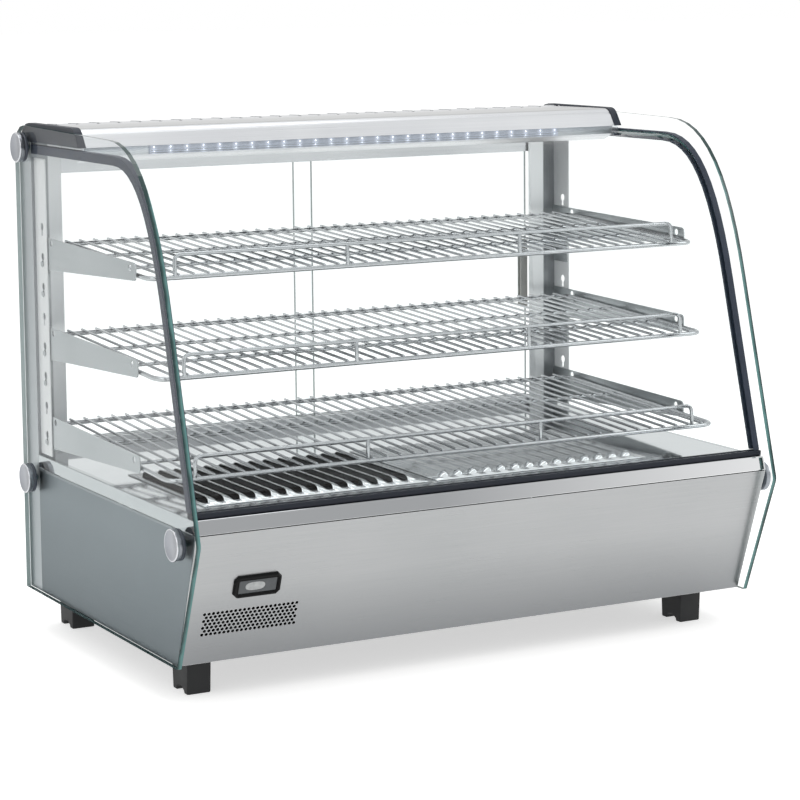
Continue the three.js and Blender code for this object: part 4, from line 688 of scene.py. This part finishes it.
def makeShelf(level):
    start, front = shelf["rearForward"], shelf["fronts"][level]
    rise = shelf["rearHeights"][level]
    lean = math.atan(shelf["slope"])
    half = shelf["half"]

    def at(x, forward, up):
        reach = forward - start
        return place(x, start + reach * math.cos(lean) - up * math.sin(lean),
                     rise - reach * math.sin(lean) + up * math.cos(lean))

    corners = [at(-half, start, 0), at(half, start, 0), at(half, front, 0), at(-half, front, 0)]
    rim = bent(corners, shelf["corner"] * mm, closed=True)
    shapes = [wire(rim, shelf["frameRadius"] * mm, shelf["frameSides"], closed=True)]
    for i in range(shelf["wires"]):
        x = (i - (shelf["wires"] - 1) / 2) * shelf["pitch"]
        ends = [at(x, start - shelf["tail"] + shelf["wireRadius"], shelf["wireUp"]),
                at(x, front + shelf["frontTail"] - shelf["wireRadius"], shelf["wireUp"])]
        shapes.append(wire(ends, shelf["wireRadius"] * mm, shelf["wireSides"]))
    for share in shelf["supportShares"]:
        middle = start + share * (front - start)
        ends = [at(side * half, middle, shelf["supportUp"]) for side in (-1, 1)]
        shapes.append(wire(ends, shelf["supportRadius"] * mm, shelf["wireSides"]))
    hoop = [at(-shelf["guardHalf"], front, 0), at(-shelf["guardHalf"], front, shelf["guardHeight"]),
            at(shelf["guardHalf"], front, shelf["guardHeight"]), at(shelf["guardHalf"], front, 0)]
    shapes.append(wire(bent(hoop, shelf["guardCorner"] * mm), shelf["guardRadius"] * mm, shelf["guardSides"]))
    for side in (-1, 1):
        stay = [at(side * shelf["guardInner"], front, up) for up in (0, shelf["guardHeight"])]
        shapes.append(wire(stay, shelf["guardRadius"] * mm, shelf["guardSides"]))
    addPiece(f"{level}_shelf_wires", shapes, chromeWire, f"shelf_{level}", [f"{level}_shelf"])


for level in levels:
    makeShelf(level)
print("wire shelves built")

# Round glass fixings: a turned cap with a bright rim, over a dark washer and a bolt.
# The rim's profile is [inwards, below the top].
fixing = {
    "radius": 19.75, "cap": 7.4, "edge": 1.6, "edgeSteps": 6, "chamfer": 0.6, "dishOuter": 0.86,
    "dishInner": 0.84, "dishDepth": 0.25, "sides": 48, "seat": 0.3,
    "washer": 4.6, "washerRadius": 19.4, "washerChamfer": 0.4, "bolt": 3, "boltLength": 14, "boltSides": 16,
    "rimRadius": 20, "rim": ((0, 1.8), (0, 0.9), (0.4, 0.2), (0.9, 0), (1.5, 0.05), (1.8, 0.3)),
    "places": {"rear_top": (34, 654), "rear_low": (34, 207), "front": (528, 207)},
}


def makeFixing(side, name, forward, height):
    spot = place(side * case["paneOuter"], forward, height)
    seat, low = fixing["seat"], fixing["seat"] + fixing["washer"]
    top = low + fixing["cap"]
    radius, edge, chamfer = fixing["radius"], fixing["edge"], fixing["chamfer"]
    turns = [math.radians(90 * k / fixing["edgeSteps"]) for k in range(fixing["edgeSteps"] + 1)]
    dish = top - fixing["dishDepth"]
    cap = [(radius - chamfer, low), (radius, low + chamfer)]
    cap += [(radius - edge + edge * math.cos(t), top - edge + edge * math.sin(t)) for t in turns]
    cap += [(radius * fixing["dishOuter"], top), (radius * fixing["dishInner"], dish), (0, dish)]
    rim = [(fixing["rimRadius"] - inwards, top - below) for inwards, below in fixing["rim"]]
    outer, bevel = fixing["washerRadius"], fixing["washerChamfer"]
    washer = [(outer - bevel, seat), (outer, seat + bevel), (outer, low)]
    bolt = [(fixing["bolt"], -fixing["boltLength"]), (fixing["bolt"], seat)]
    parts = [
        ("cap", cap, satinCap, fixing["sides"], [f"{name}_fixing"]),
        ("rim", rim, polishedRim, fixing["sides"], ()),
        ("washer", washer, darkNylon, fixing["sides"], ()),
        ("bolt", bolt, satinCap, fixing["boltSides"], ()),
    ]
    for part, profile, material, sides, standsFor in parts:
        shape = turned(profile, spot, Vector((side, 0, 0)), sides)
        addPiece(f"{name}_{part}", [shape], material, standsFor=standsFor)


for side, word in ((-1, "left"), (1, "right")):
    for spotName, (forward, height) in fixing["places"].items():
        makeFixing(side, f"{word}_{spotName}", forward, height)
print("glass fixings built")

# Louvred plates, each pressed from one sheet. Over every slot is a hood, closed at one side and both ends.
# The left plate's hoods open to the left, where warm air leaves. The air goes back down by the right plate,
# which is the mirror image.
louvre = {
    "left": -366, "width": 316, "gap": 6, "rear": 245, "depth": 241, "top": 240.2, "sheet": 0.8,
    "slots": 14, "pitch": 21.3, "half": 6.75, "length": 205, "hood": 6.9, "endRound": 11,
    "endSteps": 8, "acrossSteps": 7, "fullness": 0.8,
}


def louvredSheet(name, mirrored):
    width = louvre["width"]
    start = louvre["rear"] + (louvre["depth"] - louvre["length"]) / 2
    end = start + louvre["length"]
    near = [louvre["endRound"] * (1 - math.cos(math.pi / 2 * k / louvre["endSteps"]))
            for k in range(louvre["endSteps"] + 1)]
    rows = [louvre["rear"]] + [start + d for d in near] + [end - d for d in reversed(near)]
    rows.append(louvre["rear"] + louvre["depth"])

    def lift(forward):
        inside = min(forward - start, end - forward) / louvre["endRound"]
        return 0.0 if inside <= 0 else math.sqrt(1 - (1 - min(inside, 1)) ** 2)

    # Each column is [offset from the plate's left edge, share of the hood's rise, joined to the one before]
    columns = [(0, 0, False)]
    for i in range(louvre["slots"]):
        middle = width / 2 + (i - (louvre["slots"] - 1) / 2) * louvre["pitch"]
        columns.append((middle - louvre["half"], 0, True))
        for k in range(louvre["acrossSteps"] + 1):
            share = k / louvre["acrossSteps"]
            rise = math.cos(math.pi / 2 * share) ** louvre["fullness"] if share < 1 else 0
            columns.append((middle + louvre["half"] * (2 * share - 1), rise, k > 0))
    columns.append((width, 0, True))

    mesh = bmesh.new()
    grid = []
    for forward in rows:
        line = []
        for offset, rise, _ in columns:
            x = louvre["left"] + offset
            if mirrored:
                x = 2 * louvre["left"] + 2 * width + louvre["gap"] - x
            z = louvre["top"] + louvre["hood"] * rise * lift(forward)
            line.append(mesh.verts.new(place(x, forward, z)))
        grid.append(line)
    for r in range(len(rows) - 1):
        for c in range(1, len(columns)):
            if not columns[c][2]:
                continue
            corners = [grid[r][c - 1], grid[r + 1][c - 1], grid[r + 1][c], grid[r][c]]
            mesh.faces.new(corners[::-1] if mirrored else corners)
    bmesh.ops.remove_doubles(mesh, verts=mesh.verts, dist=weld)
    for face in mesh.faces:
        face.smooth = True
    sheet = bpy.data.meshes.new(name)
    mesh.to_mesh(sheet)
    mesh.free()
    sheet.materials.append(louvreSteel)
    piece = linked(name, sheet)
    thick = piece.modifiers.new("sheet", "SOLIDIFY")
    thick.thickness = louvre["sheet"] * mm
    thick.offset = -1
    return piece


plates = (("air_plate", "louvre_plate", False), ("return_plate", "return_louvre_plate", True))
for name, node, mirrored in plates:
    plate = louvredSheet(name, mirrored)
    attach(plate, "cabinet")
    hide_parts(node)
print("louvred plates pressed")

# Front panel: one sheet with a window for the thermometer and round punched holes for the air intake
panel = {
    "half": 411.2, "length": 180.6, "sheet": 1.2, "lowGap": 0.4,
    "window": (-348.3, -293.7, 92.2, 115.8), "intakeX": -324, "intakeUp": 56, "columns": 22, "rows": 7,
    "pitch": 5.87, "rowPitch": 4.8, "hole": 2.25, "sides": 20,
}


def loopOf(curve, points):
    line = curve.splines.new("POLY")
    line.points.add(len(points) - 1)
    for point, (a, b) in zip(line.points, points):
        point.co = (a * mm, b * mm, 0, 1)
    line.use_cyclic_u = True


def punchedPanel():
    curve = bpy.data.curves.new("front_panel_outline", "CURVE")
    curve.dimensions = "2D"
    curve.fill_mode = "BOTH"
    curve.extrude = panel["sheet"] / 2 * mm
    half, low, high = panel["half"], panel["lowGap"], panel["length"]
    loopOf(curve, [(-half, low), (half, low), (half, high), (-half, high)])
    left, right, bottom, top = panel["window"]
    loopOf(curve, [(left, bottom), (right, bottom), (right, top), (left, top)])
    turns = [2 * math.pi * k / panel["sides"] for k in range(panel["sides"])]
    hole = [(panel["hole"] * math.cos(t), panel["hole"] * math.sin(t)) for t in turns]
    for row in range(panel["rows"]):
        count = panel["columns"] - row % 2
        up = panel["intakeUp"] + (row - (panel["rows"] - 1) / 2) * panel["rowPitch"]
        for column in range(count):
            across = panel["intakeX"] + (column - (count - 1) / 2) * panel["pitch"]
            loopOf(curve, [(across + a, up + b) for a, b in hole])
    flat = linked("front_panel_outline", curve)
    bpy.context.view_layer.update()
    sheet = bpy.data.meshes.new_from_object(flat.evaluated_get(bpy.context.evaluated_depsgraph_get()))
    bpy.data.objects.remove(flat)
    sheet.name = "front_panel_sheet"
    corner = onPanel(0, 0, -panel["sheet"] / 2)
    up, out = onPanel(0, 1) - onPanel(0, 0), onPanel(0, 0, 1) - onPanel(0, 0)
    turn = Matrix((Vector((1, 0, 0)), up.normalized(), out.normalized())).transposed()
    sheet.transform(Matrix.Translation(corner) @ turn.to_4x4())
    sheet.materials.clear()
    sheet.materials.append(steelPanel)
    piece = linked("front_panel_sheet", sheet)
    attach(piece, "cabinet")
    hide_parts("base_front_panel")


punchedPanel()
print("front panel punched")

# Thermometer: snap-in bezel with cut corners and sloped sides round a smoked window.
# Its crown is [share of the slope, how much less the corner is cut, below the top].
# The lip round its window is [how much wider than the rim, corner, below the top].
gauge = {
    "x": -321, "up": 104, "outer": (31.5, 15), "corner": 5.5, "proud": 4.25, "slope": 1.6, "seat": 0.3,
    "side": 0.9, "body": (26.6, 11.2), "depth": 23, "rim": (26, 9.8), "window": (25.2, 9), "sunk": 1.5,
    "crown": ((0.7, 0.5, 0.5), (1, 0.7, 0)),
    "lip": ((1.4, 2, 0), (1.1, 1.8, 0.6), (0.7, 1.6, 0.6), (0.5, 1.5, 0.2), (0, 1.2, 0.2)),
}
display = {
    "aside": -3.5, "up": 0.6, "half": (13, 5.6), "powers": (0.7, 0.8), "sides": 24, "low": 0.22, "high": 0.4,
    "shrink": 0.5,
}


# Rings of a rectangle with cut corners, eight points each: [half sizes, how much wider, corner, out]
def cutRings(rings):
    points = []
    for (halfWidth, halfHeight), grow, corner, out in rings:
        w, h = halfWidth + grow, halfHeight + grow
        for a, b in ((-1, -1), (1, -1), (1, 1), (-1, 1)):
            pair = [(a * (w - corner), b * h), (a * w, b * (h - corner))]
            if a * b > 0:
                pair.reverse()
            points.extend(onPanel(gauge["x"] + p, gauge["up"] + q, out) for p, q in pair)
    return points


def makeThermometer():
    outer, body, rim, glazed = (gauge[key] for key in ("outer", "body", "rim", "window"))
    seat, corner, slope, top = (gauge[key] for key in ("seat", "corner", "slope", "proud"))
    sunk = top - gauge["sunk"]
    rings = [(body, 0, 1, -gauge["depth"]), (body, 0, 1, seat), (outer, 0, corner, seat),
             (outer, 0, corner, gauge["side"])]
    rings += [(outer, -slope * share, corner - less, top - below) for share, less, below in gauge["crown"]]
    rings += [(rim, wider, cut, top - below) for wider, cut, below in gauge["lip"]]
    bezel = cutRings(rings + [(glazed, 0, 1, sunk - 0.3)])
    addPiece("thermometer_bezel", [(bezel, skin(range(0, len(bezel), 8), 8, high=False))], glossyAbs,
             standsFor=["thermometer"], smooth=False)
    window = cutRings([(glazed, 0, 1, sunk - 0.5), (glazed, 0, 1, sunk), (glazed, -0.8, 0.8, sunk + 0.2)])
    addPiece("thermometer_window", [(window, skin((0, 8, 16), 8, low=False))], smokedWindow,
             smooth=False)
    # Display behind the window: a pale patch with blurred ends, partly the display's grey film and partly a
    # painted highlight of the glare on the window
    patch = []
    sides, middle = display["sides"], (gauge["x"] + display["aside"], gauge["up"] + display["up"])
    for height, shrink in ((display["low"], 0), (display["high"], display["shrink"])):
        for k in range(sides):
            turn, spot = 2 * math.pi * k / sides, []
            for i, share in enumerate((math.cos(turn), math.sin(turn))):
                reach = (display["half"][i] - shrink) * abs(share) ** display["powers"][i]
                spot.append(middle[i] + math.copysign(reach, share))
            patch.append(onPanel(*spot, sunk + height))
    addPiece("thermometer_display_and_glare", [(patch, skin((0, sides), sides, low=False))], displayAndGlare)


makeThermometer()
print("thermometer fitted")

# LED strip: a board in the profile with chips along its upper edge, each with a lens of gel.
# The lens's profile is [share of its radius, height over the board].
strip = {
    "half": 310.3, "rear": 206.35, "front": 207.7, "low": 649.3, "high": 660.3, "chips": 27, "pitch": 23.4,
    "chipUp": 658.1, "base": 1.4, "baseRise": 0.6, "lens": 0.85, "lensSides": 12,
    "lensProfile": ((1, 0.5), (0.92, 0.75), (0.6, 0.89), (0.1, 0.95)),
    "tracks": (650.6, 653.2), "trackInset": 2, "trackWidth": 0.9, "trackRise": 0.12, "sunk": 0.1,
}


# A bar between two corners, each (x, forward, z)
def bar(low, high):
    points = [place(x, f, z) for x in (low[0], high[0]) for f in (low[1], high[1]) for z in (low[2], high[2])]
    faces = [[0, 1, 3, 2], [4, 6, 7, 5], [0, 4, 5, 1], [2, 3, 7, 6], [0, 2, 6, 4], [1, 5, 7, 3]]
    return points, faces


def makeStrip():
    half, front, up, base = strip["half"], strip["front"], strip["chipUp"], strip["base"]
    sunk, trackHalf = front - strip["sunk"], half - strip["trackInset"]
    board = [bar((-half, strip["rear"], strip["low"]), (half, front, strip["high"]))]
    tracks = [bar((-trackHalf, sunk, z), (trackHalf, front + strip["trackRise"], z + strip["trackWidth"]))
              for z in strip["tracks"]]
    dome = [(strip["lens"] * share, rise) for share, rise in strip["lensProfile"]]
    bases, lenses = [], []
    for i in range(strip["chips"]):
        x = (i - (strip["chips"] - 1) / 2) * strip["pitch"]
        bases.append(bar((x - base, sunk, up - base), (x + base, front + strip["baseRise"], up + base)))
        lenses.append(turned(dome, place(x, front, up), Vector((0, -1, 0)), strip["lensSides"]))
    addPiece("led_strip_board", board, ledMaterial, standsFor=["led_strip"], smooth=False)
    addPiece("led_strip_tracks", tracks, satinCap, smooth=False)
    addPiece("led_chip_bases", bases, ledMaterial, smooth=False)
    addPiece("led_chip_lenses", lenses, lensMaterial)


makeStrip()
print("LED strip fitted")

# Marks a user reads: a scale round the thermostat knob, and I and O on the rockers
mark = {
    "knob": (250, 139.5), "panelForward": 22, "scaleInner": 21.5, "scaleOuter": 25, "scaleSteps": 10,
    "every": 5, "longer": 1.2, "sweep": 270, "width": 0.7, "proud": 0.15, "sunk": 0.1, "searchFrom": 20,
    "rockerUp": 5.4, "stroke": 0.55, "strokeSides": 6, "barHalf": 2.1, "ringRadius": 1.9, "ringLift": 0.02,
    "ringSides": 24,
}


# A flat mark on a face that looks to the rear: its outline, each (across, up), set at a forward place
def rearMark(outline, forward):
    count = len(outline)
    points = [place(x, forward + step, z) for step in (mark["sunk"], -mark["proud"]) for x, z in outline]
    return points, skin((0, count), count)


def makeScale():
    centreX, centreZ = mark["knob"]
    dashes = []
    for i in range(mark["scaleSteps"] + 1):
        turn = math.radians(-mark["sweep"] / 2 + mark["sweep"] * i / mark["scaleSteps"])
        sine, cosine = math.sin(turn), math.cos(turn)
        near, far = mark["scaleInner"], mark["scaleOuter"]
        if i % mark["every"] == 0:
            far += mark["longer"]
        half = mark["width"] / 2
        outline = [(centreX + out * sine + aside * cosine, centreZ + out * cosine - aside * sine)
                   for out, aside in ((near, -half), (far, -half), (far, half), (near, half))]
        dashes.append(rearMark(outline, mark["panelForward"]))
    addPiece("knob_scale", dashes, blackAbs, smooth=False)


# A rocker's face is tilted, so each sign is laid on it where a line from behind meets it
def makeRockerMarks(name, body):
    low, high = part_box(name)
    middle, centre = (low[0] + high[0]) / 2, (low[2] + high[2]) / 2
    signs = []
    for side in (1, -1):
        start = Vector((middle, high[1] + mark["searchFrom"] * mm, centre + side * mark["rockerUp"] * mm))
        hit, spot, normal, _ = nodes[name].ray_cast(start, Vector((0, -1, 0)))
        if not hit:
            continue
        across = Vector((1, 0, 0))
        up = normal.cross(across)
        if up.z < 0:
            up = -up
        wide, tall = mark["stroke"] / 2, mark["barHalf"]
        if side > 0:
            corners = ((-wide, -tall), (wide, -tall), (wide, tall), (-wide, tall))
            points = [spot + (across * a + up * b + normal * out) * mm
                      for out in (-mark["sunk"], mark["proud"]) for a, b in corners]
            signs.append((points, skin((0, 4), 4)))
        else:
            lifted = spot + normal * (mark["ringLift"] * mm)
            path = circle(lifted, across, up, mark["ringRadius"] * mm, mark["ringSides"])
            signs.append(wire(path, wide * mm, mark["strokeSides"], closed=True))
    addPiece(f"{name}_marks", signs, whiteNylon, body, smooth=False)


makeScale()
makeRockerMarks("power_rocker", "power_switch")
makeRockerMarks("light_rocker", "light_switch")
print("marks set")

# Vents in the top of the housing: a low lip is raised along the right side of each slanting slot, and under
# the slots lies a black sheet, a painted shade for the dark inside of the housing
vent = {
    "pairs": 27, "half": 390, "rearForward": 38, "length": 17, "rowGap": 4, "width": 4, "skew": 8,
    "rearTop": (6, 683), "frontTop": (197.5, 685), "sunk": 0.3, "rise": 0.9, "thick": 1.2, "slant": 0.35,
    "mesh": (680.4, 681), "shadeSheetHalf": 396, "shadeSheetMargin": 3,
}


# The housing's top rises a little to the front
def housingTop(forward):
    (rear, low), (front, high) = vent["rearTop"], vent["frontTop"]
    return low + (high - low) * (forward - rear) / (front - rear)


# A lip along a slot. Near and far are the x of its left side at the slot's rear and front end.
def ventLip(near, far, start):
    end, thick = start + vent["length"], vent["thick"]
    points = []
    for up, inset in ((-vent["sunk"], 0), (vent["rise"], vent["slant"])):
        low, high = housingTop(start) + up, housingTop(end) + up
        points += [place(far + inset, end - inset, high), place(far + thick - inset, end - inset, high),
                   place(near + thick - inset, start + inset, low), place(near + inset, start + inset, low)]
    return points, skin((0, 4), 4)


def makeVents():
    lips = []
    for i in range(vent["pairs"]):
        x = (2 * i / (vent["pairs"] - 1) - 1) * vent["half"] + vent["width"]
        lips.append(ventLip(x, x + vent["skew"], vent["rearForward"]))
        lips.append(ventLip(x + vent["skew"], x, vent["rearForward"] + vent["length"] + vent["rowGap"]))
    addPiece("housing_vent_lips", lips, housingMetal, smooth=False)
    # The black sheet under the slots is painted shade: it darkens the slots where the housing's inside lies
    # in shade
    low, high = vent["mesh"]
    rear = vent["rearForward"] - vent["shadeSheetMargin"]
    front = vent["rearForward"] + 2 * vent["length"] + vent["rowGap"] + vent["shadeSheetMargin"]
    mesh = bar((-vent["shadeSheetHalf"], rear, low), (vent["shadeSheetHalf"], front, high))
    addPiece("housing_vent_shade_sheet", [mesh], footRubber, smooth=False)


makeVents()
print("vents lined")

# Floor, backdrop and lamps. A lamp is (place, width and height, both in m, and power).
studio = {
    "floor": "#f2f2f1", "floorSize": 80, "lift": 0.6, "world": 0.6, "background": 1.0, "aim": (0, 0, 0.3),
    "lamps": {
        "softbox_left": ((-2.4, -2.2, 2.6), (2.2, 2.2), 20),
        "softbox_right": ((2.6, -1.8, 2.2), (1.6, 1.6), 15),
        "softbox_top": ((0, 0.4, 3.2), (2.4, 1.6), 22),
    },
}


# A ray that shows the backdrop: straight from the camera, or by way of metal or glass
def showsBackdrop(tree):
    paths = addNode(tree, "LightPath")
    either = addNode(tree, "Math", {
        0: paths.outputs["Is Camera Ray"], 1: paths.outputs["Is Glossy Ray"]}, operation="MAXIMUM")
    return addNode(tree, "Math", {
        0: either, 1: paths.outputs["Is Transmission Ray"]}, operation="MAXIMUM")


def makeStudio():
    bpy.ops.mesh.primitive_plane_add(size=studio["floorSize"], location=(0, 0, 0))
    floor = bpy.context.object
    floor.name = "studio_floor"
    material, tree = newMaterial("painted_floor")
    matt = addNode(tree, "BsdfDiffuse", {"Color": linear(studio["floor"])})
    glow = addNode(tree, "Emission", {"Color": linear("#ffffff"), "Strength": studio["lift"]})
    lifted = addNode(tree, "AddShader", {0: matt, 1: glow})
    seen = addNode(tree, "MixShader", {0: showsBackdrop(tree), 1: matt, 2: lifted})
    addNode(tree, "OutputMaterial", {"Surface": seen})
    floor.data.materials.append(material)
    world = bpy.data.worlds.new("studio")
    scene.world = world
    world.use_nodes = True
    tree = world.node_tree
    tree.nodes.clear()
    strength = addNode(tree, "MapRange", {
        "Value": showsBackdrop(tree), "To Min": studio["world"], "To Max": studio["background"]})
    sky = addNode(tree, "Background", {"Color": linear("#ffffff"), "Strength": strength})
    addNode(tree, "OutputWorld", {"Surface": sky})


def addLamp(name, spot, size, power):
    data = bpy.data.lights.new(name, "AREA")
    data.shape = "RECTANGLE"
    data.size, data.size_y = size
    data.energy = power
    lamp = linked(name, data)
    lamp.location = spot
    lamp.rotation_euler = (Vector(studio["aim"]) - Vector(spot)).to_track_quat("-Z", "Y").to_euler()


makeStudio()
for name, (spot, size, power) in studio["lamps"].items():
    addLamp(name, spot, size, power)
print("studio lit")
